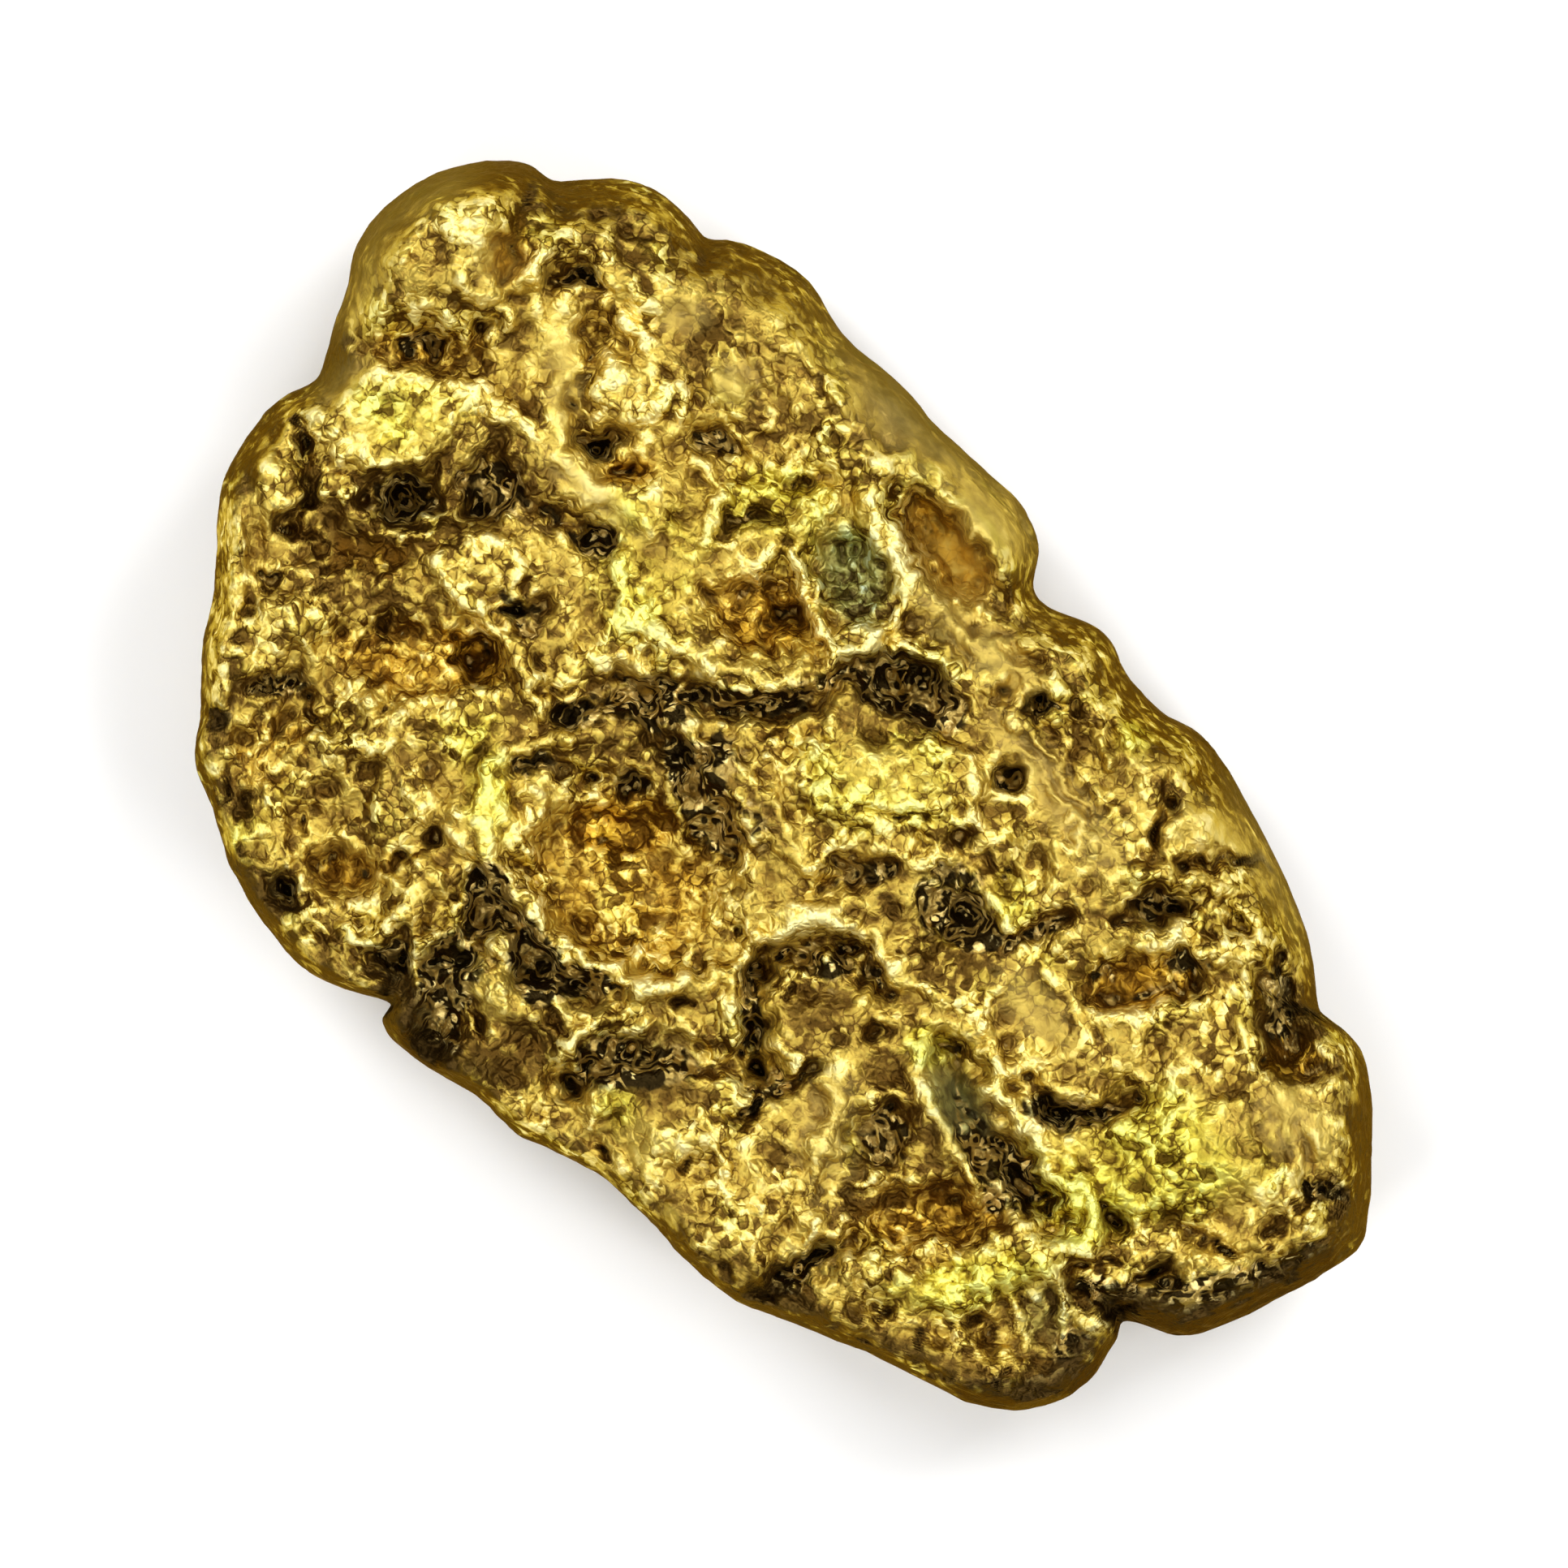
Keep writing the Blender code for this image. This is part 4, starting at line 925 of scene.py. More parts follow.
        (1475, 1491, 10), (1460, 1491, 9), (1480, 1560, 11), (1495, 1568, 12), (1506, 1560, 9),
        (1470, 1552, 9), (1610, 1490, 11), (1600, 1501, 10),
    ), 9, 0.7),
    Pebbles("trough beads", (
        (1100, 1510, 9), (1090, 1530, 9), (1110, 1550, 9), (1130, 1540, 9), (1150, 1530, 9),
        (1165, 1545, 9), (1140, 1560, 9), (1120, 1570, 9), (1160, 1565, 9), (1180, 1555, 9),
        (1080, 1546, 9), (1075, 1561, 9), (1145, 1580, 9), (1275, 1500, 11), (1285, 1520, 9),
        (1270, 1526, 9), (1260, 1545, 9), (1290, 1536, 9), (1300, 1501, 9), (1065, 1590, 11),
        (1030, 1620, 9), (1045, 1630, 9), (1096, 1560, 9), (1111, 1571, 9),
    ), 9, 0.5),
    Wrinkles("trough lines", (
        ((1222, 1504), (1226, 1536)), ((1250, 1531), (1286, 1514)),
    ), 10, 8, 0.3),
    Pebbles("lime rim", (
        (1160, 1600, 13), (1166, 1616, 11), (1180, 1590, 11), (1176, 1608, 9), (1200, 1586, 11),
        (1210, 1570, 13), (1225, 1561, 13), (1240, 1565, 11), (1216, 1590, 9), (1160, 1632, 9),
        (1191, 1601, 8), (1255, 1560, 8),
    ), 10, 1.0),
    Wrinkles("tip streaks", (
        ((1265, 1570), (1280, 1611)), ((1250, 1600), (1268, 1651)),
        ((1310, 1598), (1316, 1630), (1308, 1667)), ((1182, 1622), (1184, 1652)),
        ((1236, 1668), (1225, 1690), (1210, 1701)), ((1251, 1680), (1246, 1711)),
        ((1350, 1624), (1366, 1640), (1370, 1661)),
    ), 12, 10, 0.7),
    Pebbles("tip beads", (
        (1183, 1636, 10), (1186, 1651, 9), (1230, 1680, 10), (1240, 1701, 9), (1220, 1700, 9),
        (1310, 1650, 10), (1308, 1668, 9), (1316, 1615, 9), (1105, 1665, 9), (1240, 1641, 9),
        (1361, 1640, 12), (1350, 1656, 9), (1371, 1625, 9), (1170, 1705, 9),
    ), 9, 0.5),
    Pits("tip pits", (
        (1190, 1622, 14, 18, 0), (1210, 1641, 16, 20, 0), (1130, 1641, 12, 20, 0), (1231, 1602, 20, 16, 0),
        (1290, 1602, 14, 24, 0), (1271, 1661, 16, 24, 0), (1326, 1690, 22, 20, 0),
        (1150, 1690, 24, 12, 20), (1286, 1710, 24, 12, 0),
    ), 14, -0.7),
    Pits("edge cell pits", (
        (1575, 1181, 12, 14, 0), (1591, 1215, 14, 20, 0), (1585, 1251, 16, 20, 0), (1601, 1241, 14, 14, 0),
        (1590, 1286, 20, 14, 0), (1640, 1310, 10, 12, 0), (1620, 1470, 26, 10, -15),
        (1651, 1471, 12, 8, 0), (1596, 1481, 14, 10, 0), (1641, 1490, 12, 8, 0), (1571, 1510, 12, 8, 0),
        (1558, 1521, 14, 8, 0), (1620, 1526, 12, 10, 0), (1481, 1521, 14, 20, -30),
        (1501, 1541, 12, 10, 0), (1540, 1586, 30, 14, -15), (1581, 1566, 28, 10, -10),
        (1500, 1591, 24, 12, 0), (1420, 1571, 26, 10, -20), (1390, 1591, 18, 10, 0),
        (1451, 1581, 20, 10, 0), (1470, 1621, 34, 14, 0), (1561, 1601, 26, 12, -10),
    ), 16, -0.6),
    Pebbles("edge beads", (
        (1580, 1262, 9), (1550, 1290, 9), (1610, 1341, 9), (1640, 1335, 11), (1635, 1351, 9),
        (1645, 1375, 9),
    ), 9, 0.5),
    Wrinkles("edge arcs", (
        ((1625, 1265), (1645, 1276), (1660, 1300), (1662, 1331)),
        ((1620, 1301), (1630, 1294), (1646, 1311)), ((1600, 1385), (1626, 1421)),
        ((1635, 1370), (1656, 1401)), ((1570, 1360), (1590, 1420), (1590, 1451)),
    ), 11, 10, 0.5),
    Pits("east pits", (
        (1410, 1106, 22, 12, -20), (1440, 1126, 16, 16, 0), (1441, 1101, 14, 8, 0),
        (1385, 1131, 16, 14, 0), (1400, 1161, 12, 8, 0), (1350, 1196, 22, 13, -20), (1335, 1211, 12, 8, 0),
        (1465, 1181, 22, 8, 10), (1471, 1210, 12, 10, 30), (1440, 990, 10, 10, 0), (1416, 1034, 8, 14, 0),
        (1286, 868, 20, 8, 5), (1279, 886, 8, 12, -20), (1330, 872, 14, 14, 0),
    ), 16, -0.6),
    Wrinkles("east lines", (
        ((1380, 1151), (1395, 1140), (1410, 1145), (1416, 1161)), ((1405, 1166), (1452, 1158)),
        ((1415, 1202), (1426, 1174)), ((1370, 1261), (1430, 1240), (1460, 1246), (1501, 1224)),
        ((1345, 1240), (1360, 1251), (1441, 1228)),
        ((1500, 1140), (1510, 1125), (1530, 1120), (1550, 1128), (1552, 1146), (1535, 1156), (1510, 1152)),
        ((1340, 858), (1363, 942)), ((1375, 858), (1386, 916)),
        ((1225, 852), (1235, 838), (1250, 838), (1257, 853), (1245, 894)),
    ), 11, 10, 0.6),
    Wrinkles("east creases", (
        ((1328, 1218), (1345, 1280), (1366, 1291)), ((1190, 786), (1230, 779), (1291, 811)),
        ((1516, 1122), (1534, 1138), (1520, 1146)), ((1262, 909), (1310, 985), (1340, 1010)),
        ((1440, 960), (1416, 1045)),
    ), -14, 9, -0.5),
    Pebbles("east beads", (
        (1325, 905, 10), (1460, 1166, 10), (1500, 1185, 9),
    ), 8, 0.3),
    Pebbles("long cell beads", (
        (1130, 670, 9), (1215, 758, 9), (1248, 751, 9), (1252, 767, 9), (1155, 585, 11), (1166, 581, 10),
        (1172, 594, 10), (1170, 609, 10), (1178, 621, 10),
    ), 9, 0.7),
    Wrinkles("ring lines", (
        ((1020, 709), (1035, 724), (1060, 726), (1091, 719)), ((1035, 658), (1045, 688), (1060, 709)),
        ((1060, 662), (1070, 692), (1086, 713)), ((1030, 754), (1071, 769)),
        ((1060, 565), (1075, 576), (1080, 606), (1075, 636), (1083, 658)),
        ((1115, 594), (1125, 584), (1135, 589), (1151, 578)),
    ), 8, 8, 0.5),
    Pebbles("ring beads", (
        (1035, 775, 9), (1020, 633, 9), (1010, 650, 9), (1000, 670, 9),
    ), 9, 0.7),
    Pebbles("junction beads", (
        (790, 729, 9), (810, 750, 9), (775, 745, 8), (800, 713, 8), (821, 734, 8), (780, 709, 9),
        (770, 690, 8), (759, 671, 8), (850, 730, 10), (861, 745, 9), (845, 755, 8), (870, 719, 9),
        (886, 735, 8), (900, 745, 8), (935, 700, 10), (946, 689, 10), (956, 679, 9), (930, 715, 8),
        (919, 693, 8), (904, 710, 8), (905, 678, 9), (890, 674, 7), (770, 790, 12), (790, 800, 12),
        (780, 774, 10), (800, 784, 10), (816, 800, 9), (765, 809, 9), (811, 778, 9), (831, 810, 8),
        (740, 799, 9), (725, 810, 8), (750, 823, 8), (880, 829, 9), (895, 839, 9), (910, 845, 9),
        (925, 850, 8), (945, 848, 9), (870, 819, 8), (860, 835, 7),
    ), 10, 0.9),
    Wrinkles("junction lines", (
        ((768, 781), (790, 755), (842, 800)), ((765, 699), (772, 729), (769, 765)),
        ((886, 623), (869, 671)), ((855, 569), (896, 625)),
    ), 13, 11, 0.8),
    Wrinkles("cell ring", (
        ((979, 680), (1014, 788), (1050, 800), (1095, 775), (1118, 712), (1100, 663), (1079, 627)),
    ), 16, 9, 1.2),
    Wrinkles("cell lines", (
        ((935, 744), (985, 799), (996, 820)), ((960, 780), (976, 810)),
        ((900, 760), (925, 754), (941, 743)), ((850, 809), (900, 824), (952, 831)),
        ((728, 771), (740, 760), (756, 767), (752, 784), (736, 786), (728, 771)),
    ), 9, 8, 0.2),
    Pebbles("crowded beads", (
        (689, 740, 9), (704, 915, 9),
    ), 9, 0.3),
]

STAINS = [
    Stain(tone, (east, south), (wide, deep), strength, *turn)
    for tone, ovals in (
        # Patina, together with painted shade in the caves and on shadowed slopes.
        (Tone.PATINA_AND_SHADE, (
            (496, 615, 60, 50, 0.9), (599, 601, 62, 60, 0.8), (645, 623, 80, 40, 0.5, 35),
            (736, 666, 52, 34, 0.7), (714, 347, 52, 20, 0.5), (531, 426, 70, 26, 0.5),
            (739, 552, 48, 30, 0.6), (882, 549, 42, 28, 0.6), (348, 846, 66, 26, 0.7),
            (270, 888, 30, 24, 0.7), (330, 708, 26, 16, 0.6), (639, 760, 60, 34, 0.6, 40),
            (801, 871, 90, 40, 0.8, 10), (711, 881, 56, 34, 0.8), (857, 971, 46, 96, 0.9, -20),
            (907, 1020, 70, 60, 0.6), (662, 944, 60, 30, 0.6), (779, 963, 36, 30, 0.8),
            (940, 867, 80, 24, 0.6), (1108, 844, 96, 56, 1.0, 15), (1160, 883, 50, 36, 0.9),
            (1240, 961, 24, 30, 0.9, 20), (1288, 872, 46, 22, 0.7), (1175, 1116, 84, 76, 0.8, 20),
            (1059, 1073, 70, 34, 0.6), (1282, 1146, 50, 11, 0.8, -22), (1422, 1112, 46, 30, 0.7),
            (1348, 1192, 28, 20, 0.6), (1466, 1184, 46, 20, 0.6), (1574, 1230, 34, 90, 0.7, -15),
            (1630, 1466, 56, 24, 0.9), (602, 1104, 40, 60, 0.9, 15), (560, 1191, 60, 90, 0.7, 20),
            (675, 1194, 80, 40, 0.8, 45), (350, 1100, 46, 36, 0.7, 45), (482, 1184, 46, 36, 0.7),
            (925, 1246, 22, 90, 0.8, -4), (1018, 1188, 76, 26, 0.9, 12), (940, 1341, 70, 30, 0.7, -40),
            (781, 1311, 110, 44, 0.6, -8), (1310, 1368, 90, 32, 0.9, 5), (1236, 1452, 60, 74, 0.9, -40),
            (1090, 1400, 54, 60, 0.7, 20), (990, 1566, 90, 30, 0.8, -30), (1360, 1590, 56, 30, 0.9, 40),
            (1470, 1630, 120, 30, 0.9, -12), (900, 861, 80, 22, 0.7, 5), (1000, 847, 70, 22, 0.7, -20),
            (883, 930, 60, 60, 0.6), (602, 1094, 36, 50, 0.9), (650, 1154, 60, 34, 0.9, 50),
            (728, 1209, 60, 28, 0.9, 15), (741, 1301, 50, 50, 0.7), (810, 1320, 70, 34, 0.7),
            (530, 1230, 50, 80, 0.7, 10), (1189, 1400, 40, 70, 0.6, -32), (1500, 1610, 170, 44, 1.0, -12),
            (1610, 1560, 60, 50, 0.8, -40), (1330, 1670, 60, 60, 0.7, -40),
            (1500, 1600, 190, 60, 1.0, -14), (1400, 1600, 80, 34, 0.8, 10), (1240, 1712, 130, 34, 0.8, -6),
            (530, 1290, 60, 40, 0.8, 35), (1204, 1154, 60, 30, 0.8, 15), (806, 859, 60, 44, 0.9),
            (856, 956, 40, 60, 0.9, -30), (602, 1114, 36, 50, 0.8), (659, 1203, 40, 56, 0.8, -30),
            (530, 1270, 60, 60, 0.7),
        )),
        # Amber, partly painted warm reflection in the hollows.
        (Tone.AMBER, (
            (1160, 664, 120, 50, 0.54, 50), (783, 1080, 190, 150, 0.55, 30), (771, 1012, 90, 60, 0.6),
            (500, 805, 150, 80, 0.6, 5), (592, 809, 56, 56, 0.8), (455, 684, 110, 60, 0.5, 10),
            (950, 769, 96, 70, 0.7), (1150, 1510, 140, 70, 0.6), (1400, 1214, 110, 54, 0.6, -12),
            (1592, 1300, 60, 60, 0.9), (627, 314, 40, 60, 0.6, 20), (768, 586, 60, 34, 0.7),
            (980, 899, 90, 34, 0.5), (525, 426, 110, 40, 0.5), (340, 920, 90, 60, 0.4, -30),
            (440, 1071, 80, 50, 0.5),
        )),
        (Tone.OLIVE, (
            (1053, 711, 66, 96, 1.0, -12), (1182, 1365, 46, 110, 0.8, -32), (781, 1311, 120, 50, 0.6, -8),
            (1290, 1620, 60, 70, 0.5), (476, 495, 60, 40, 0.3),
        )),
        (Tone.POLISH, (
            (1150, 502, 260, 110, 0.9, 47), (1230, 651, 80, 60, 0.8, 50), (1600, 1080, 220, 70, 0.8, 62),
            (520, 230, 130, 60, 0.7, -30), (439, 341, 50, 120, 0.7, 20), (1200, 793, 150, 46, 0.7, 42),
            (1300, 980, 180, 44, 0.7, 52), (1270, 1240, 90, 44, 0.5, 50), (1182, 1365, 50, 110, 0.7, -32),
            (695, 470, 34, 100, 0.7), (737, 611, 120, 30, 0.7, 40), (1490, 1020, 70, 40, 0.35, 40),
            (1020, 1390, 60, 120, 0.5, 5), (1590, 1380, 80, 60, 0.6, 45), (1175, 683, 110, 40, 0.7, 50),
            (840, 390, 50, 36, 0.6), (905, 472, 46, 46, 0.8), (617, 324, 50, 50, 0.6),
            (418, 472, 60, 40, 0.5, -30),
        )),
        # Paler patches, partly painted highlight where the surface catches the light.
        (Tone.BRIGHT, (
            (573, 274, 60, 50, 0.9), (492, 383, 90, 34, 0.7), (490, 516, 100, 76, 0.15),
            (688, 303, 50, 40, 0.8), (779, 422, 70, 90, 0.9), (635, 438, 50, 70, 0.6),
            (695, 522, 60, 60, 0.5), (819, 509, 60, 60, 0.6), (790, 794, 80, 60, 1.0),
            (780, 729, 60, 60, 0.6), (860, 649, 70, 70, 0.6), (1020, 608, 90, 90, 0.7),
            (1090, 666, 60, 100, 0.8, -20), (1160, 704, 110, 60, 0.7, 50), (1020, 799, 80, 40, 0.7),
            (1080, 965, 130, 80, 0.8), (999, 1088, 60, 80, 0.6), (989, 1136, 90, 34, 0.9),
            (836, 1186, 80, 60, 0.7), (711, 1137, 50, 70, 0.7, -30), (611, 977, 50, 90, 0.7, 10),
            (420, 901, 80, 40, 0.6), (450, 1100, 60, 60, 0.5), (292, 700, 40, 170, 0.9),
            (370, 791, 60, 40, 0.6), (905, 1440, 70, 90, 0.7), (1000, 1530, 80, 40, 0.6),
            (1277, 1370, 40, 110, 0.9, -30), (1430, 1350, 60, 50, 0.9), (1330, 1510, 80, 50, 0.8),
            (1500, 1480, 110, 60, 0.5), (1210, 1575, 110, 50, 1.0, -10), (1480, 1050, 60, 60, 0.5),
            (1480, 1190, 60, 60, 0.6), (1145, 1290, 44, 40, 0.9), (1390, 905, 40, 50, 0.7),
            (525, 405, 80, 30, 0.7), (595, 509, 50, 40, 0.6), (980, 709, 100, 60, 0.7),
            (1060, 788, 90, 40, 0.8), (710, 1011, 50, 60, 0.6), (646, 1067, 40, 50, 0.6),
            (861, 1099, 60, 50, 0.6), (932, 1169, 60, 30, 0.8), (925, 1302, 40, 60, 0.7),
            (705, 1340, 50, 40, 0.7), (850, 1420, 110, 70, 0.6), (1000, 1540, 90, 40, 0.6, -20),
            (1380, 1500, 50, 40, 0.7), (1520, 1140, 60, 60, 0.7), (268, 720, 30, 190, 0.9),
            (280, 1040, 40, 60, 0.7), (730, 1430, 150, 50, 0.9, 42), (640, 1360, 60, 40, 0.6, 40),
            (1320, 1494, 70, 40, 1.0, 20), (1410, 1355, 50, 40, 0.7, 30), (1450, 1395, 50, 40, 0.6, 30),
            (1390, 1515, 50, 34, 0.8), (790, 799, 60, 34, 0.8), (300, 1060, 50, 50, 0.8, 40),
            (266, 840, 24, 60, 0.8), (698, 309, 60, 34, 0.8, -30), (769, 396, 60, 34, 0.7, 50),
            (467, 403, 70, 26, 0.7, -14), (1010, 1016, 60, 30, 0.6), (900, 1540, 70, 40, 0.6, 30),
            (1405, 1375, 60, 70, 0.9), (1310, 1520, 50, 60, 0.9), (678, 1029, 50, 50, 0.8),
            (781, 1167, 70, 60, 0.7), (605, 392, 60, 30, 0.7), (696, 397, 50, 30, 0.7),
            (1270, 1290, 50, 40, 0.7), (1160, 1520, 50, 60, 0.7), (400, 781, 50, 30, 0.6),
            (540, 1181, 60, 50, 0.8), (1490, 1060, 60, 70, 0.6), (1400, 1200, 60, 50, 0.5),
            (1420, 1375, 44, 50, 0.8), (1365, 1510, 40, 50, 0.8), (1152, 1278, 34, 40, 0.9),
            (732, 407, 40, 30, 0.6), (724, 324, 34, 26, 0.6), (1290, 735, 60, 40, 0.5),
            (1220, 1690, 40, 30, 0.6), (1520, 1392, 50, 26, 0.8, 50), (912, 1064, 34, 40, 0.6),
        )),
        # Browner patches, partly painted shade on slopes and walls that lie in shade.
        (Tone.BROWN, (
            (439, 653, 110, 110, 1.0), (565, 610, 110, 60, 0.6, 20), (480, 754, 90, 60, 0.7),
            (743, 900, 110, 60, 0.6), (810, 972, 80, 110, 0.8, -30), (699, 1020, 50, 60, 0.5),
            (1110, 856, 110, 66, 0.8, 15), (1103, 1113, 50, 40, 0.6), (1189, 1185, 90, 50, 0.9),
            (1008, 1254, 80, 60, 0.8), (1069, 1066, 60, 40, 0.5), (520, 1240, 80, 110, 0.8, 10),
            (790, 1320, 110, 60, 0.8), (1164, 1420, 90, 70, 0.8, 50), (1590, 1290, 50, 90, 0.8),
            (1560, 1390, 90, 60, 0.4), (1500, 1625, 170, 50, 1.0, -12), (1650, 1510, 50, 70, 0.8),
            (1250, 1705, 130, 50, 0.8), (950, 1590, 140, 44, 0.7, 40), (710, 251, 90, 44, 0.5, 20),
            (900, 333, 90, 50, 0.4, 40), (330, 850, 80, 36, 0.5), (310, 1090, 60, 70, 0.6, -20),
            (470, 270, 60, 110, 0.6, 20), (1120, 503, 130, 40, 0.5, 47), (1530, 960, 120, 40, 0.5, 55),
            (1680, 1400, 30, 110, 0.6), (620, 205, 110, 34, 0.7), (409, 441, 40, 60, 0.7, 20),
            (1560, 1590, 120, 50, 1.0, -24), (570, 1300, 80, 44, 0.9, 30), (640, 1290, 60, 80, 0.7),
            (1099, 1338, 50, 120, 0.6, -40), (1090, 1478, 80, 14, 1.0, -6), (559, 225, 110, 40, 0.8, -12),
            (635, 408, 50, 60, 0.5), (900, 426, 70, 50, 0.6, 30), (655, 583, 70, 34, 0.8, 35),
            (300, 590, 24, 50, 0.6, 20), (1570, 1240, 40, 90, 0.8, -12), (655, 799, 80, 50, 0.45, -20),
            (597, 706, 50, 40, 0.6), (650, 588, 80, 36, 0.7, 48), (1090, 945, 60, 50, 0.3),
            (952, 1018, 60, 34, 0.4, 50), (540, 1082, 40, 34, 0.5), (1370, 1150, 40, 34, 0.5),
            (1510, 1640, 190, 44, 1.0, -14), (774, 349, 50, 34, 0.4), (860, 411, 50, 34, 0.35),
            (825, 804, 34, 60, 0.4), (907, 983, 34, 34, 0.6), (365, 1115, 40, 34, 0.5),
        )),
        (Tone.LEMON, (
            (1350, 1490, 70, 60, 1.0), (495, 516, 100, 80, 0.6), (800, 709, 120, 150, 0.6),
            (960, 629, 170, 90, 0.6), (1080, 955, 140, 110, 0.6), (600, 967, 60, 120, 0.8),
            (310, 1030, 50, 60, 0.7), (760, 1370, 60, 60, 0.6), (1141, 1290, 50, 44, 1.0),
            (1240, 1100, 50, 60, 0.6), (1300, 1450, 60, 110, 0.8, -30), (1190, 1580, 150, 50, 1.0, -10),
            (1450, 1420, 180, 120, 0.9), (1390, 910, 40, 40, 0.8),
        )),
    )
    for east, south, wide, deep, strength, *turn in ovals
]


def level_places(plan: np.ndarray) -> np.ndarray:
    """The places of plan points at height 0."""
    return np.column_stack([plan, np.zeros(len(plan))])


def distance_to_outline(plan: np.ndarray) -> np.ndarray:
    """How far plan points are from the nugget's outline.

    Args:
        plan: Points on the map, one a row.

    Returns:
        One distance for each point, in map units.
    """
    outline = smooth_path(OUTLINE, OUTLINE_STEPS, closed=True)
    distance, _ = distance_to_path(plan, np.vstack([outline, outline[:1]]))
    return distance


def folded_noise(points: np.ndarray, size: float, seed: float) -> np.ndarray:
    """Noise that is folded into sharp crests with rounded troughs between them.

    Args:
        points: Places in map units, one a row.
        size: The rough distance between crests, in map units.
        seed: Shifts the pattern, so that each use has its own.

    Returns:
        Values from -1 in the troughs to 1 on the crests.
    """
    shift = Vector((seed, 2.3 * seed, -1.7 * seed))
    values = [noise.noise(Vector(p) / size + shift) for p in points]
    return np.clip(1 - 3.2 * np.abs(np.array(values)), -1, 1)


def soft_noise(points: np.ndarray, size: float, seed: float) -> np.ndarray:
    """Rounded noise.

    Args:
        points: Places in map units, one a row.
        size: The rough distance between crests, in map units.
        seed: Shifts the pattern, so that each use has its own.

    Returns:
        Values from about -1 to 1.
    """
    shift = Vector((seed, -1.9 * seed, 2.7 * seed))
    values = [noise.noise(Vector(p) / size + shift) for p in points]
    return np.clip(1.6 * np.array(values), -1, 1)


def along_and_across(plan: np.ndarray) -> tuple:
    """Turns map points to the nugget's own axes.

    Args:
        plan: Points on the map, one a row.

    Returns:
        Their distances from the origin along and across the long axis, in map units.
    """
    east, south = (plan - MAP_ORIGIN).T
    cos, sin = math.cos(LONG_AXIS_SOUTH_OF_EAST), math.sin(LONG_AXIS_SOUTH_OF_EAST)
    return east * cos + south * sin, east * sin - south * cos


def to_metres(plan: np.ndarray, height: np.ndarray) -> np.ndarray:
    """Positions in the nugget's frame, in metres, of map points at heights in map units."""
    return np.column_stack([*along_and_across(plan), height]) * METRES_PER_UNIT


def to_plan(positions: np.ndarray) -> np.ndarray:
    """Finds positions on the map.

    Args:
        positions: Positions in the nugget's frame, in metres, one a row.

    Returns:
        The points on the map that lie under them.
    """
    along, across = positions[:, :2].T / METRES_PER_UNIT
    cos, sin = math.cos(LONG_AXIS_SOUTH_OF_EAST), math.sin(LONG_AXIS_SOUTH_OF_EAST)
    return np.column_stack([along * cos + across * sin, along * sin - across * cos]) + MAP_ORIGIN


def forms_height(forms: list, plan: np.ndarray, crest_share: np.ndarray) -> np.ndarray:
    """The summed height of the forms at each plan point, in map units.

    Args:
        forms: The crests and mounds.
        plan: Points on the map, one a row.
        crest_share: How much of the crests' height each point gets, so that they break up.

    Returns:
        One height for each point.
    """
    heights = np.zeros(len(plan))
    for form in forms:
        heights += form.height(plan) * (crest_share if isinstance(form, Crest) else 1)
    return heights


def unsettled(plan: np.ndarray, waver: tuple) -> np.ndarray:
    """Map points moved a little to and fro, so that the forms on them lose their even edges.

    Args:
        plan: Points on the map, one a row.
        waver: Pairs of a size and a reach, both in map units.

    Returns:
        The moved points.
    """
    places = level_places(plan)
    moved = plan.copy()
    for size, reach in waver:
        moved[:, 0] += reach * soft_noise(places, size, 12.4)
        moved[:, 1] += reach * soft_noise(places, size, 31.7)
    return moved


def vertex_positions(mesh: bpy.types.Mesh) -> np.ndarray:
    """Reads where a mesh's vertices are.

    Args:
        mesh: The mesh.

    Returns:
        Their positions, one a row.
    """
    positions = np.empty(len(mesh.vertices) * 3)
    mesh.vertices.foreach_get("co", positions)
    return positions.reshape(-1, 3)


def vertex_normals(mesh: bpy.types.Mesh) -> np.ndarray:
    """Reads which way a mesh faces at its vertices.

    Args:
        mesh: The mesh.

    Returns:
        Their normals, one a row.
    """
    normals = np.empty(len(mesh.vertices) * 3)
    mesh.vertex_normals.foreach_get("vector", normals)
    return normals.reshape(-1, 3)


@dataclass(frozen=True)
class Grain:
    """One layer of small relief between the named forms, in map units."""

    size: float
    height: float
    seed: float
    folded: bool = True

    def at(self, places: np.ndarray) -> np.ndarray:
        """The height that the layer adds at each place."""
        pattern = folded_noise if self.folded else soft_noise
        return self.height * pattern(places, self.size, self.seed)


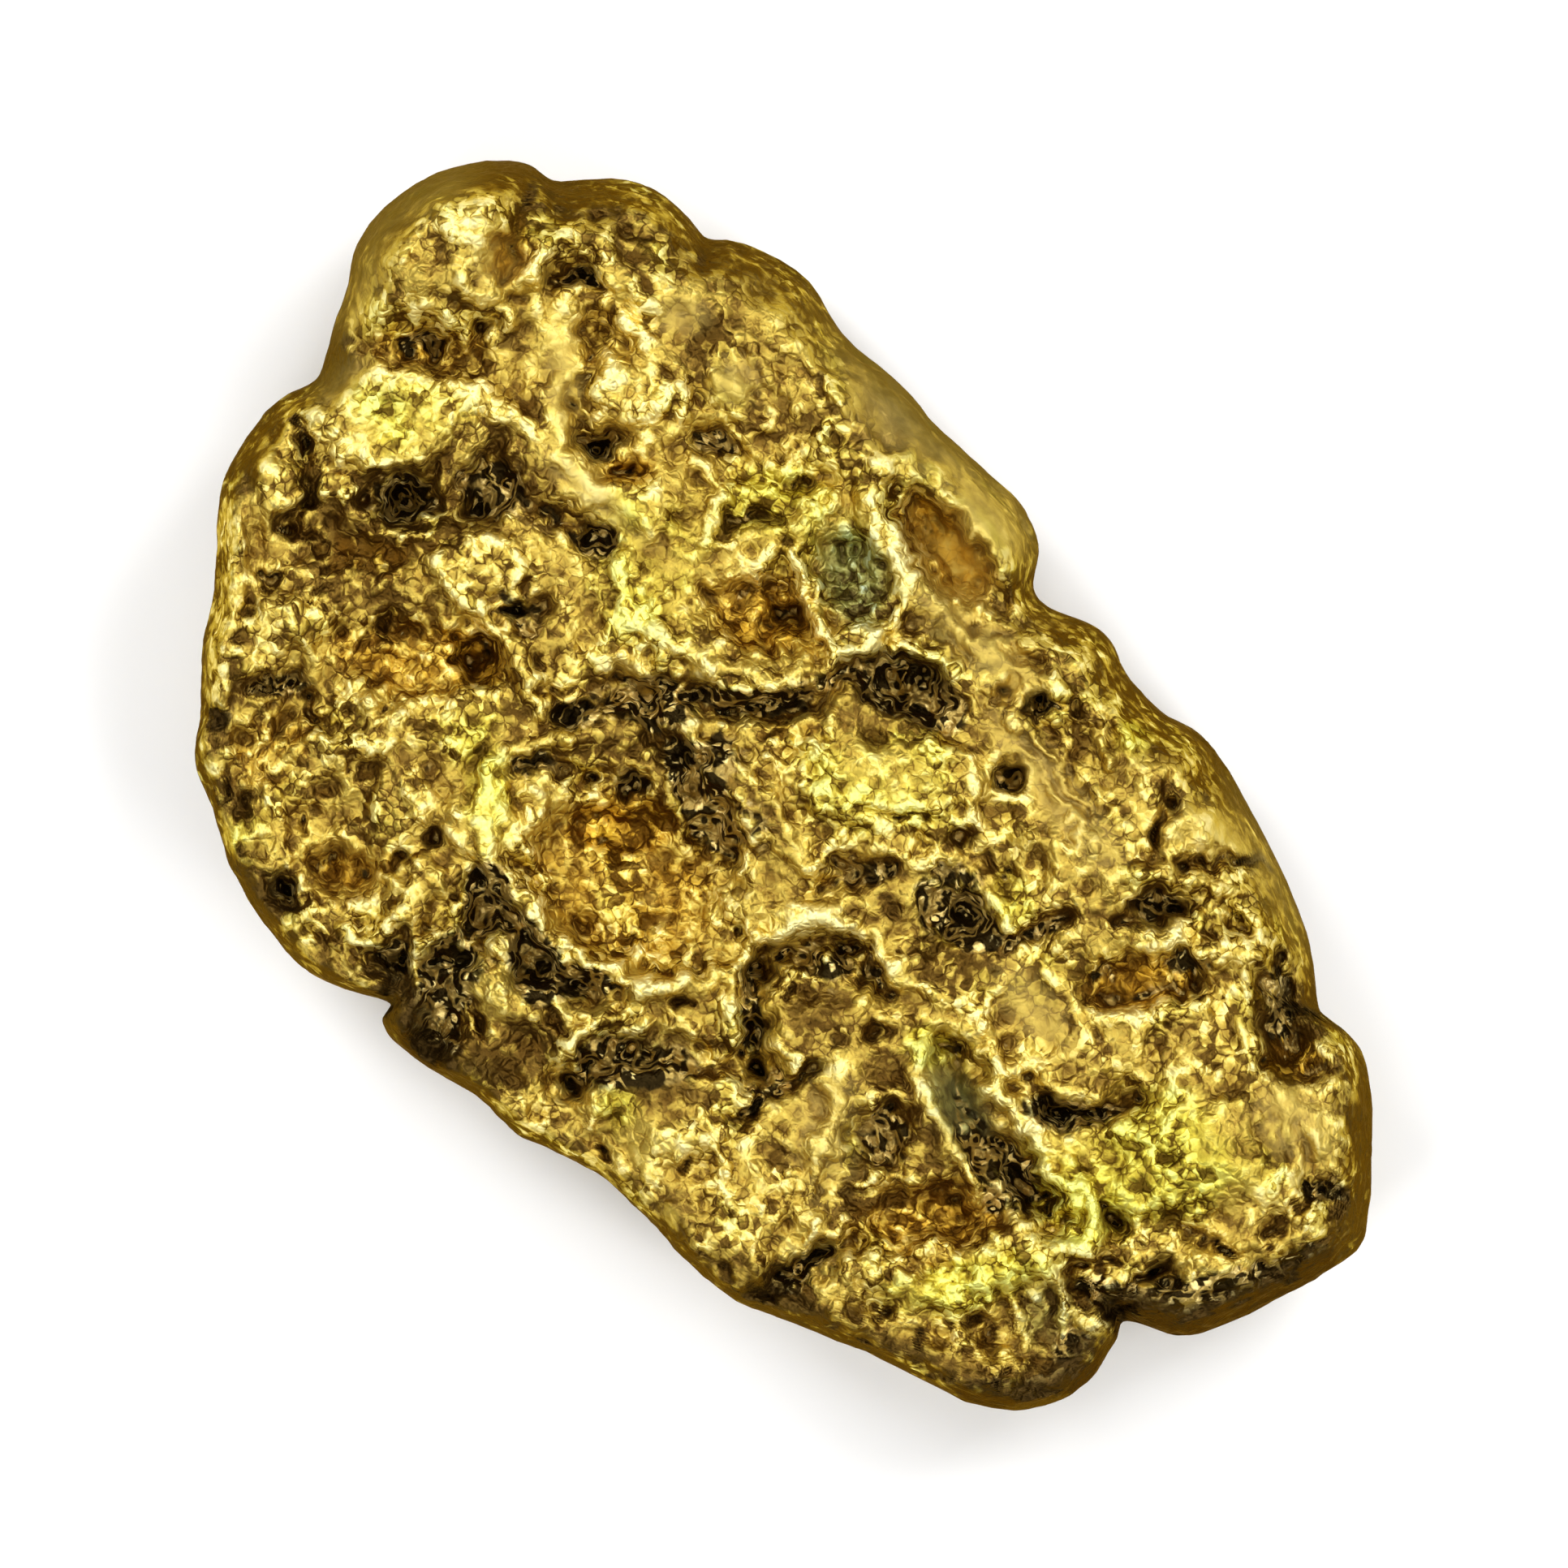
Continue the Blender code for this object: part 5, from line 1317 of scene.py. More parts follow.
@dataclass
class NuggetSkin:
    """The nugget's whole outer skin, one closed mesh that stands for its solid.

    A ball's equator is drawn out to the nugget's outline, and its upper and lower halves are
    raised and sunk by the named forms. Sizes and heights are in map units.
    """

    name: str = "gold_nugget"
    ball_subdivisions: int = 8
    triangles: int = 192_000
    equator: float = math.radians(112.0)  # more of the ball's points go to the upper skin
    crown: float = 300.0
    rim: float = 150.0
    rim_tilt: float = 40.0
    rim_wander: float = 42.0
    rim_wander_size: float = 300.0
    wall_depth: float = 24.0
    spoke_calm: float = math.radians(5.0)
    belly: float = 26.0
    side_reach: float = 480.0
    top_roll: float = 54.0
    top_roll_tilt: float = 28.0
    under_roll: float = 230.0
    fold_size: float = 150.0
    fold_depth: float = 44.0
    upper_fold_share: float = 0.12
    fold_start: float = 55.0
    fold_reach: float = 130.0
    waver: tuple = ((70, 4), (30, 7), (15, 6))
    peak_limit: float = 38.0  # wear has left no peak higher than this above its surroundings
    peak_stretch: float = 44.0
    crest_breaks: float = 0.45
    crest_break_size: float = 26.0
    fine_wavers: tuple = (
        (Pebbles, ((34, 4), (15, 3))),
        (Wrinkles, ((34, 6), (15, 5))),
        (Pits, ((34, 10), (15, 7))),
    )
    grains: tuple = (
        Grain(105, 14, 3.1),
        Grain(46, 8, 7.7),
        Grain(25, 3.5, 1.9),
        Grain(14, 1.2, 4.3),
    )
    side_grains: tuple = (
        Grain(64, 9, 2.7),
        Grain(30, 6, 6.1),
        Grain(15, 3, 8.3),
    )
    polish_calm: float = 0.85
    uneven_share: float = 0.35
    uneven_size: float = 19.0
    calm_rim: float = 45.0
    least_calm: float = 0.22
    side_polish_calm: float = 0.35
    # How far in from the outline the painted wall shade reaches, in map units.
    wall_shade_reach: float = 44.0
    # Brown keeps its full amount down the walls, since there it also paints their shade.
    tone_starts: tuple = (0.4, 1.0)  # how much of a tone a vertical wall keeps, and how much of brown
    fine_cavity_passes: int = 8
    broad_cavity_passes: int = 90
    tones: tuple = tuple(Tone)

    def build(self) -> bpy.types.Object:
        """Models the skin.

        Returns:
            The nugget's object, at the origin, with its tones as attributes.
        """
        nugget = self.add_ball()
        self.shape(nugget.data)
        self.thin_out(nugget)
        self.store_cavities(nugget)
        self.store_tones(nugget.data)
        return nugget

    def add_ball(self) -> bpy.types.Object:
        """Adds the ball that the skin is drawn from.

        Returns:
            The ball, with a radius of 1.
        """
        bpy.ops.object.select_all(action="DESELECT")
        bpy.ops.mesh.primitive_ico_sphere_add(subdivisions=self.ball_subdivisions, radius=1)
        ball = bpy.context.object
        ball.name = ball.data.name = self.name
        return ball

    def shape(self, mesh: bpy.types.Mesh) -> None:
        """Moves the ball's points out to the nugget's skin.

        Args:
            mesh: The ball's mesh.
        """
        ball = vertex_positions(mesh) * (1, -1, 1)
        plan, edge, above = self.lay_out(ball)
        rim = self.rim_height(plan)
        heights, wall = self.skin_heights(plan, edge, above, rim)
        folded = self.fold_sides(plan, edge, heights, rim)
        rough = self.roughen_sides(folded, heights, rim, wall)
        mesh.vertices.foreach_set("co", to_metres(rough, heights).ravel())
        mesh.update()

    def lay_out(self, ball: np.ndarray) -> tuple:
        """Lays the ball's points out on the map.

        Args:
            ball: The points of the unit ball, one a row, with y southwards.

        Returns:
            Map points, their distance to the outline, and whether each is on the upper skin.
        """
        outline = smooth_path(OUTLINE, OUTLINE_STEPS, closed=True)
        spokes = outline - MAP_CENTRE
        bearing = np.arctan2(spokes[:, 1], spokes[:, 0])
        order = np.argsort(bearing)
        reach = np.hypot(spokes[:, 0], spokes[:, 1])[order]
        polar = np.arccos(np.clip(ball[:, 2], -1, 1))
        above = polar <= self.equator
        quarter = np.where(above, polar / self.equator, (math.pi - polar) / (math.pi - self.equator))
        angle = np.arctan2(ball[:, 1], ball[:, 0])
        radius = np.sin(quarter * math.pi / 2)
        spoke = np.interp(angle, bearing[order], reach, period=2 * math.pi)
        calm_spoke = sum(
            np.interp(angle + turn, bearing[order], reach, period=2 * math.pi)
            for turn in np.linspace(-self.spoke_calm, self.spoke_calm, 9)
        ) / 9
        spoke = calm_spoke + (spoke - calm_spoke) * radius**8
        plan = (radius * spoke)[:, None] * np.column_stack([np.cos(angle), np.sin(angle)]) + MAP_CENTRE
        edge = distance_to_outline(plan)
        square = np.interp(angle, bearing[order], self.squareness(outline)[order], period=2 * math.pi)
        inner = np.clip((edge - self.wall_depth) / self.wall_depth, 0, 1)
        return plan, edge * inner + (1 - radius) * spoke * square * (1 - inner), above

    def squareness(self, outline: np.ndarray) -> np.ndarray:
        """How squarely the spokes from the map's centre meet the outline.

        Args:
            outline: The outline's points, one a row.

        Returns:
            A number up to 1 for each of them.
        """
        way = np.roll(outline, -3, axis=0) - np.roll(outline, 3, axis=0)
        spokes = outline - MAP_CENTRE
        cross = way[:, 0] * spokes[:, 1] - way[:, 1] * spokes[:, 0]
        square = np.abs(cross) / np.hypot(*way.T) / np.hypot(*spokes.T)
        return np.clip(sum(np.roll(square, step) for step in range(-4, 5)) / 9, 0.4, 1)

    def side_tilt(self, plan: np.ndarray) -> np.ndarray:
        """From -1 along the nugget's -Y side to 1 along its +Y side."""
        return np.clip(along_and_across(plan)[1] / self.side_reach, -1, 1)

    def rim_height(self, plan: np.ndarray) -> np.ndarray:
        """How high the nugget is at its widest.

        Args:
            plan: Points on the map, one a row.

        Returns:
            The height of the widest line by each point.
        """
        wander = self.rim_wander * folded_noise(level_places(plan), self.rim_wander_size, 5.3)
        return self.rim - self.rim_tilt * self.side_tilt(plan) + wander

    def skin_heights(self, plan: np.ndarray, edge: np.ndarray, above: np.ndarray, rim: np.ndarray) -> tuple:
        """The heights of the skin's points.

        Args:
            plan: Their places on the map.
            edge: Their distances to the outline.
            above: Whether each is on the upper skin.
            rim: The height of the widest line by each.

        Returns:
            The heights, and how much of a side wall each point is on, from 0 to 1.
        """
        places = np.column_stack([plan, np.where(above, 0.0, 500.0)])
        smoothness = tone_amount(Tone.POLISH, plan)
        rough = self.grains[0].at(places)
        for grain in self.grains[1:]:
            rough += grain.at(places) * (1 - self.polish_calm * smoothness)
        broken = 1 - self.crest_breaks * (1 + soft_noise(places, self.crest_break_size, 21.0)) / 2
        moved = unsettled(plan, self.waver)
        relief = forms_height(TOP_FORMS, moved, broken) + rough + self.fine_heights(plan)
        worn = self.peak_limit * np.tanh(relief / self.peak_stretch)
        top = self.crown + forms_height(TOP_SWELLS, moved, broken) + np.where(relief > 0, worn, relief)
        under = self.belly + rough - forms_height(UNDER_FORMS, plan, broken)
        roll = np.where(above, self.top_roll + self.top_roll_tilt * self.side_tilt(plan), self.under_roll)
        share = np.clip(edge / roll, 0, 1)
        rise = np.sqrt(np.clip(1 - (1 - share) ** 2, 0, 1))
        heights = rim + (np.where(above, top, under) - rim) * rise
        return np.maximum(heights, 0), 1 - rise

    def fine_heights(self, plan: np.ndarray) -> np.ndarray:
        """The heights that the pebbles, pits and wrinkles add.

        Args:
            plan: Points on the map, one a row.

        Returns:
            One height for each point, in map units.
        """
        uneven = 1 + self.uneven_share * soft_noise(level_places(plan), self.uneven_size, 15.2)
        moved = {kind: unsettled(plan, waver) for kind, waver in self.fine_wavers}
        return uneven * sum(detail.rise * detail.cover(moved[type(detail)]) for detail in DETAILS)

    def fold_sides(
        self, plan: np.ndarray, edge: np.ndarray, heights: np.ndarray, rim: np.ndarray
    ) -> np.ndarray:
        """Draws the sides in above and below the rim.

        Args:
            plan: The skin's places on the map.
            edge: Their distances to the outline.
            heights: Their heights.
            rim: The height of the widest line by each.

        Returns:
            The new places on the map.
        """
        places = np.column_stack([plan, heights])
        depth = self.fold_depth * (0.5 - 0.5 * folded_noise(places, self.fold_size, 9.1))
        depth *= np.where(heights > rim, self.upper_fold_share, 1.0)
        depth *= np.clip(np.abs(heights - rim) / self.fold_start, 0, 1)
        depth *= np.clip(1 - edge / self.fold_reach, 0, 1)
        spokes = plan - MAP_CENTRE
        reach = np.maximum(np.hypot(spokes[:, 0], spokes[:, 1]), 1)
        return plan - spokes * (depth / reach)[:, None]

    def roughen_sides(
        self, plan: np.ndarray, heights: np.ndarray, rim: np.ndarray, wall: np.ndarray
    ) -> np.ndarray:
        """Sinks small folds into the side walls, where heights alone leave none.

        Args:
            plan: The skin's places on the map.
            heights: Their heights.
            rim: The height of the widest line by each.
            wall: How much of a side wall each is on, from 0 to 1.

        Returns:
            The new places on the map.
        """
        places = np.column_stack([plan, heights])
        depth = sum(grain.height - grain.at(places) for grain in self.side_grains) / 2
        calm = np.clip(np.abs(heights - rim) / self.calm_rim, self.least_calm, 1)
        calm *= 1 - self.side_polish_calm * tone_amount(Tone.POLISH, plan)
        spokes = plan - MAP_CENTRE
        return plan - spokes * (depth * wall * calm / np.hypot(*spokes.T).clip(1))[:, None]

    def thin_out(self, nugget: bpy.types.Object) -> None:
        """Takes out the points that carry least of the shape.

        Args:
            nugget: The nugget's object.
        """
        decimate = nugget.modifiers.new("thin out", "DECIMATE")
        decimate.ratio = self.triangles / len(nugget.data.polygons)
        bpy.context.view_layer.objects.active = nugget
        bpy.ops.object.modifier_apply(modifier=decimate.name)
        bpy.ops.object.shade_smooth()

    def smoothed_positions(self, nugget: bpy.types.Object, passes: int) -> np.ndarray:
        """Where the skin would be if it was smoothed. The skin itself is left as it is.

        Args:
            nugget: The nugget's object.
            passes: How often it is smoothed.

        Returns:
            The vertex positions, one a row.
        """
        smooth = nugget.modifiers.new("smooth", "SMOOTH")
        smooth.iterations = passes
        evaluated = nugget.evaluated_get(bpy.context.evaluated_depsgraph_get())
        positions = vertex_positions(evaluated.to_mesh())
        evaluated.to_mesh_clear()
        nugget.modifiers.remove(smooth)
        return positions

    def store_cavities(self, nugget: bpy.types.Object) -> None:
        """Stores how deep each point lies among its neighbours, in map units, near and far.

        Args:
            nugget: The nugget's object.
        """
        positions = vertex_positions(nugget.data)
        normals = vertex_normals(nugget.data)
        for name, passes in (("crease", self.fine_cavity_passes), ("hollow", self.broad_cavity_passes)):
            gap = self.smoothed_positions(nugget, passes) - positions
            self.store(nugget.data, name, np.sum(gap * normals, axis=1) / METRES_PER_UNIT)

    def store_tones(self, mesh: bpy.types.Mesh) -> None:
        """Stores how much of each tone each point has, and how much it is on a side wall, which sets its
        painted wall shade.

        Args:
            mesh: The nugget's mesh.
        """
        plan = to_plan(vertex_positions(mesh))
        # How much painted shade each point on a side wall gets, most at the very edge.
        side = EDGE_SHADE - distance_to_outline(plan) / self.wall_shade_reach
        self.store(mesh, "side", np.clip(side, 0, EDGE_SHADE))
        facing = vertex_normals(mesh)[:, 2]
        facing_up, down_to_walls = (np.clip(start + 2 * facing, 0, 1) for start in self.tone_starts)
        moved = {kind: unsettled(plan, waver) for kind, waver in self.fine_wavers}
        # Paler worn grains and ridges, and painted shade that darkens the pits and cracks.
        wear_and_pit_shade = sum(detail.wear_and_pit_shade * detail.cover(moved[type(detail)]) for detail in DETAILS)
        self.store(mesh, "wear_and_pit_shade", wear_and_pit_shade * facing_up)
        for tone in self.tones:
            # Brown also paints the shade of the walls, so it reaches down them.
            reach = down_to_walls if tone is Tone.BROWN else facing_up
            self.store(mesh, tone.value, tone_amount(tone, plan) * reach)

    def store(self, mesh: bpy.types.Mesh, name: str, values: np.ndarray) -> None:
        """Stores one number for each vertex under the given name."""
        attribute = mesh.attributes.new(name, "FLOAT", "POINT")
        attribute.data.foreach_set("value", values.astype(np.float32))


def tone_amount(tone: Tone, plan: np.ndarray) -> np.ndarray:
    """How much of a tone each map point has from all its stains together, from 0 to 1."""
    amounts = [stain.amount(plan) for stain in STAINS if stain.tone is tone]
    return np.clip(sum(amounts, np.zeros(len(plan))), 0, 1)


@dataclass
class NodeBench:
    """Adds and joins the nodes of one material."""

    tree: bpy.types.NodeTree

    def add(self, kind: str, **settings: object) -> bpy.types.Node:
        """Adds a node.

        Args:
            kind: Blender's name for the node.
            **settings: The node's own settings.

        Returns:
            The node.
        """
        node = self.tree.nodes.new(kind)
        for name, value in settings.items():
            setattr(node, name, value)
        return node

    def join(self, source: Value, target: Socket) -> None:
        """Feeds an input.

        Args:
            source: The output to feed it from, or a plain value to set it to.
            target: The input.
        """
        if isinstance(source, Socket):
            self.tree.links.new(source, target)
        else:
            target.default_value = source

    def attribute(self, name: str) -> Socket:
        """The mesh attribute of that name, as a number."""
        return self.add("ShaderNodeAttribute", attribute_name=name).outputs["Fac"]

    def math(self, operation: str, first: Value, second: Value = 0.0, clamp: bool = False) -> Socket:
        """A sum on two numbers.

        Args:
            operation: Blender's name for it.
            first: The first number.
            second: The second number.
            clamp: Whether the result is kept between 0 and 1.

        Returns:
            The result.
        """
        node = self.add("ShaderNodeMath", operation=operation, use_clamp=clamp)
        self.join(first, node.inputs[0])
        self.join(second, node.inputs[1])
        return node.outputs[0]

    def ramp(self, value: Value, low: float, high: float) -> Socket:
        """A smooth step.

        Args:
            value: The number that it depends on.
            low: Where the step starts. It may lie above high.
            high: Where it ends.

        Returns:
            0 at low and beyond it, 1 at high and beyond it.
        """
        node = self.add("ShaderNodeMapRange", interpolation_type="SMOOTHSTEP")
        self.join(value, node.inputs["Value"])
        node.inputs["From Min"].default_value = low
        node.inputs["From Max"].default_value = high
        return node.outputs["Result"]

    def blend(self, share: Value, first: Colour, second: Colour, way: str = "MIX") -> Socket:
        """Two colours put together.

        Args:
            share: How much the second changes the first, from 0 to 1.
            first: The first colour.
            second: The second colour.
            way: One of Blender's ways of mixing.

        Returns:
            The resulting colour.
        """
        node = self.add("ShaderNodeMix", data_type="RGBA", blend_type=way)
        colours_in = [socket for socket in node.inputs if socket.type == "RGBA"]
        self.join(share, node.inputs["Factor"])
        self.join(first, colours_in[0])
        self.join(second, colours_in[1])
        return next(socket for socket in node.outputs if socket.type == "RGBA")

    def total(self, *terms: tuple) -> Socket:
        """A weighted sum.

        Args:
            *terms: Pairs of a number and the weight that it is multiplied by.

        Returns:
            The sum.
        """
        result = 0.0
        for value, weight in terms:
            node = self.add("ShaderNodeMath", operation="MULTIPLY_ADD")
            self.join(value, node.inputs[0])
            node.inputs[1].default_value = weight
            self.join(result, node.inputs[2])
            result = node.outputs[0]
        return result

    def product(self, first: Value, second: Value) -> Socket:
        """Two numbers multiplied."""
        return self.math("MULTIPLY", first, second)

    def centred(self, value: Value) -> Socket:
        """The number less a half."""
        return self.math("SUBTRACT", value, 0.5)

    def palette(self, value: Value, stops: tuple) -> Socket:
        """A colour that runs through some stops.

        Args:
            value: Where on the run it is, from 0 to 1.
            stops: Pairs of a place from 0 to 1 and its colour.

        Returns:
            The colour.
        """
        node = self.add("ShaderNodeValToRGB")
        self.join(value, node.inputs["Fac"])
        elements = node.color_ramp.elements
        while len(elements) < len(stops):
            elements.new(0.5)
        for element, (place, colour) in zip(elements, stops):
            element.position = place
            element.color = colour
        return node.outputs["Color"]

    def place(self) -> Socket:
        """The place on the object, in metres."""
        return self.add("ShaderNodeTexCoord").outputs["Object"]

    def noise(self, size: float, detail: float, distortion: float = 0.0) -> Socket:
        """Noise over the object.

        Args:
            size: About how large its features are, in metres.
            detail: How many finer layers it has.
            distortion: How much it is stirred.

        Returns:
            The noise, from 0 to 1.
        """
        node = self.add("ShaderNodeTexNoise")
        self.join(self.place(), node.inputs["Vector"])
        node.inputs["Scale"].default_value = 1 / size
        node.inputs["Detail"].default_value = detail
        node.inputs["Distortion"].default_value = distortion
        return node.outputs["Fac"]

    def beads(self, size: float, waver: float) -> tuple:
        """Rounded beads that lie close together.

        Args:
            size: The distance between beads, in metres.
            waver: How far their edges stray from straight, in metres.

        Returns:
            The distance from the nearest gap, as a share of the size, and a number for each bead.
        """
        place = self.place()
        stray = self.add("ShaderNodeTexNoise")
        self.join(place, stray.inputs["Vector"])
        stray.inputs["Scale"].default_value = 1 / (1.4 * size)
        shift = self.add("ShaderNodeVectorMath", operation="MULTIPLY_ADD")
        self.join(stray.outputs["Color"], shift.inputs[0])
        shift.inputs[1].default_value = (waver, waver, waver)
        self.join(place, shift.inputs[2])
        gap = self.add("ShaderNodeTexVoronoi", feature="DISTANCE_TO_EDGE")
        cell = self.add("ShaderNodeTexVoronoi", feature="F1")
        for pattern in (gap, cell):
            self.join(shift.outputs["Vector"], pattern.inputs["Vector"])
            pattern.inputs["Scale"].default_value = 1 / size
        tint = self.add("ShaderNodeSeparateColor")
        self.join(cell.outputs["Color"], tint.inputs["Color"])
        return gap.outputs["Distance"], tint.outputs["Red"]

    def folds(self, size: float, detail: float, distortion: float) -> Socket:
        """Noise folded into worm-like crests.

        Args:
            size: About how large its features are, in metres.
            detail: How many finer layers it has.
            distortion: How much it is stirred.

        Returns:
            The folds, 1 along their tops.
        """
        centred = self.centred(self.noise(size, detail, distortion))
        return self.math("SUBTRACT", 1.0, self.product(self.math("ABSOLUTE", centred), 4.0))


@dataclass(frozen=True)
class GoldPatterns:
    """The patterns that the gold's colour, gloss and relief share.

    between is the distance from the gaps between the beads, bead a number for each bead, and rough
    how much of the small relief the polish has left.
    """

    between: Socket
    bead: Socket
    flecks: Socket
    worms: Socket
    rough: Socket


@dataclass(frozen=True)
class NativeGold:
    """Native gold, pale on its crests, amber in its hollows and dark in its caves: partly worn metal,
    tone and patina, partly painted highlight on convex crests, painted warm reflection in the hollows
    and painted shade in the hollows, creases, pits, caves and down the side walls.

    Sizes and heights are in metres. crest_highlight_limit and cave_depth are in map units, as the skin's
    crease and hollow attributes are.
    """

    shades: tuple = (
        (0.0, (0.10, 0.052, 0.009, 1)),
        (0.24, (0.22, 0.13, 0.022, 1)),
        (0.38, (0.44, 0.30, 0.050, 1)),
        (0.60, (0.62, 0.46, 0.085, 1)),
        (0.72, (0.84, 0.675, 0.185, 1)),
        (1.0, (0.99, 0.88, 0.385, 1)),
    )
    warmer: tuple = (1.08, 0.91, 0.50, 1)
    greener: tuple = (0.93, 1.04, 0.62, 1)
    greyer: tuple = (0.55, 0.72, 1.2, 1)
    tan: tuple = (0.60, 0.46, 0.13, 1)
    # Near-black colour of patina and painted cave shade.
    patina_and_shade: tuple = (0.027, 0.017, 0.005, 1)
    umber: tuple = (0.070, 0.040, 0.010, 1)
    curl: tuple = (0.44, 0.31, 0.085, 1)
    gleam: tuple = (0.95, 0.76, 0.30, 1)
    # Painted shade colour of the side walls.
    painted_wall_shade: tuple = (0.11, 0.068, 0.016, 1)
    edge_tint: tuple = (0.6, 0.45, 0.15, 1)
    worn_roughness: float = 0.54
    hollow_roughness: float = 0.64
    bead_size: float = 0.000135
    bead_waver: float = 0.00012
    bead_height: float = 0.000016
    fleck_size: float = 0.00024
    fleck_height: float = 0.000026
    worm_size: float = 0.00034
    worm_height: float = 0.000012
    plain_shade: float = 0.425
    # Caps the painted highlight that the crease term gives convex crests.
    crest_highlight_limit: float = -3.5
    # Painted shade in the hollows; paler worn grains with painted shade in the pits; and the bright and brown
    # tones, which partly paint highlight and shade.
    shade_weights: tuple = (
        ("hollow", -0.0105),
        ("wear_and_pit_shade", 0.22),
        (Tone.BRIGHT.value, 0.21),
        (Tone.BROWN.value, -0.38),
    )
    tan_share: float = 0.6
    painted_wall_shade_share: float = 0.62
    # How deep the skin must lie before painted cave shade sets in, in map units.
    cave_depth: float = 8.0

    def material(self) -> bpy.types.Material:
        """Mixes the finish.

        Returns:
            The material, which reads the skin's attributes.
        """
        material = bpy.data.materials.new("native_gold")
        material.use_nodes = True
        bench = NodeBench(material.node_tree)
        shader = material.node_tree.nodes["Principled BSDF"]
        shader.inputs["Metallic"].default_value = 1.0
        shader.inputs["Specular Tint"].default_value = self.edge_tint
        patterns = self.patterns(bench)
        bench.join(self.colour(bench, patterns), shader.inputs["Base Color"])
        bench.join(self.roughness(bench, patterns), shader.inputs["Roughness"])
        bench.join(self.relief(bench, patterns), shader.inputs["Normal"])
        return material

    def patterns(self, bench: NodeBench) -> GoldPatterns:
        """Lays out the small patterns.

        Args:
            bench: The bench of the material.

        Returns:
            The patterns.
        """
        between, bead = bench.beads(self.bead_size, self.bead_waver)
        flecks = bench.noise(self.fleck_size, 3.0, 0.7)
        worms = bench.folds(self.worm_size, 1.0, 0.6)
        rough = bench.total((bench.attribute(Tone.POLISH.value), -0.85), (1.0, 1.0))
        return GoldPatterns(between, bead, flecks, worms, rough)

    def shade(self, bench: NodeBench, patterns: GoldPatterns) -> Socket:
        """How pale the gold is: partly worn metal and random tone, partly painted highlight on convex crests
        and painted shade in the hollows, creases, pits and down the side walls.

        Args:
            bench: The bench of the material.
            patterns: Its small patterns.

        Returns:
            A number from 0 in dark gaps to 1 on bright crests.
        """
        gaps = bench.product(bench.ramp(patterns.between, 0.12, 0.0), bench.ramp(patterns.flecks, 0.62, 0.42))
        small = bench.total(
            (bench.centred(patterns.flecks), 1.45),
            (bench.centred(patterns.bead), 0.55),
            (gaps, -0.40),
        )
        lively = bench.total((bench.ramp(bench.noise(0.0007, 2.0), 0.38, 0.62), 1.0), (0.35, 1.0))
        return bench.total(
            (self.plain_shade, 1.0),
            (bench.product(bench.product(small, lively), patterns.rough), 1.0),
            (bench.centred(bench.noise(0.0009, 3.0)), 0.5),
            # Painted highlight on convex crests, capped, and painted shade in concave creases.
            (bench.math("MAXIMUM", bench.attribute("crease"), self.crest_highlight_limit), -0.046),
            *((bench.attribute(name), weight) for name, weight in self.shade_weights),
            # Painted shade down the side walls.
            (self.wall_shade_share(bench, patterns), -0.45),
        )

    def colour(self, bench: NodeBench, patterns: GoldPatterns) -> Socket:
        """The gold's colour.

        Args:
            bench: The bench of the material.
            patterns: Its small patterns.

        Returns:
            The colour, from its worn places, its hollows and its stains, with painted highlight, painted warm
            reflection and painted shade among them.
        """
        colour = bench.palette(self.shade(bench, patterns), self.shades)
        polish = bench.product(bench.attribute(Tone.POLISH.value), self.tan_share)
        colour = bench.blend(polish, colour, self.tan)
        hollow = bench.attribute("hollow")
        # Warmer gold in the hollows: partly the gold's own amber tone, partly painted warm reflection between
        # the gold walls.
        amber = bench.total(
            (hollow, 0.02),
            (bench.attribute(Tone.AMBER.value), 0.9),
            (bench.centred(patterns.flecks), -1.6),
        )
        lemon = bench.total(
            (bench.attribute(Tone.LEMON.value), 1.0),
            (bench.centred(bench.noise(0.0007, 2.0)), 2.0),
        )
        for share, tint in (
            (bench.ramp(amber, 0.1, 0.9), self.warmer),
            (bench.ramp(lemon, 0.0, 1.0), self.greener),
            (bench.ramp(bench.attribute(Tone.OLIVE.value), 0.0, 1.0), self.greyer),
        ):
            colour = bench.blend(share, colour, tint, "MULTIPLY")
        # Painted shade down the side walls, in colour.
        wall = bench.product(self.wall_shade_share(bench, patterns), self.painted_wall_shade_share)
        colour = bench.blend(wall, colour, self.painted_wall_shade)
        # Patina and painted shade in the caves: darker under the patina stain, where the skin lies deep and
        # in creases.
        sunk = bench.math("MAXIMUM", bench.total((hollow, 1.0), (-self.cave_depth, 1.0)), 0.0)
        dark = bench.total(
            (bench.attribute(Tone.PATINA_AND_SHADE.value), 1.0),
            (sunk, 0.022),
            (bench.attribute("crease"), 0.030),
            (bench.noise(0.0004, 4.0, 0.8), 1.5),
            (patterns.flecks, -0.6),
        )
        return bench.blend(bench.ramp(dark, 0.75, 1.15), colour, self.patina_and_cave_shade(bench, patterns))

    def patina_and_cave_shade(self, bench: NodeBench, patterns: GoldPatterns) -> Socket:
        """The colour in the caves.

        Args:
            bench: The bench of the material.
            patterns: Its small patterns.

        Returns:
            Near-black patina, deepened as painted shade, with duller curls and single bright beads.
        """
        on_top = bench.ramp(bench.attribute("side"), 0.7, 0.1)
        curls = bench.product(bench.ramp(patterns.worms, 0.70, 0.86), on_top)
        stain = bench.blend(curls, bench.blend(on_top, self.umber, self.patina_and_shade), self.curl)
        chance = bench.total((patterns.bead, 1.0), (bench.centred(patterns.flecks), 1.4))
        gleams = bench.product(bench.ramp(chance, 0.66, 0.78), bench.ramp(patterns.between, 0.08, 0.22))
        return bench.blend(bench.product(gleams, on_top), stain, self.gleam)

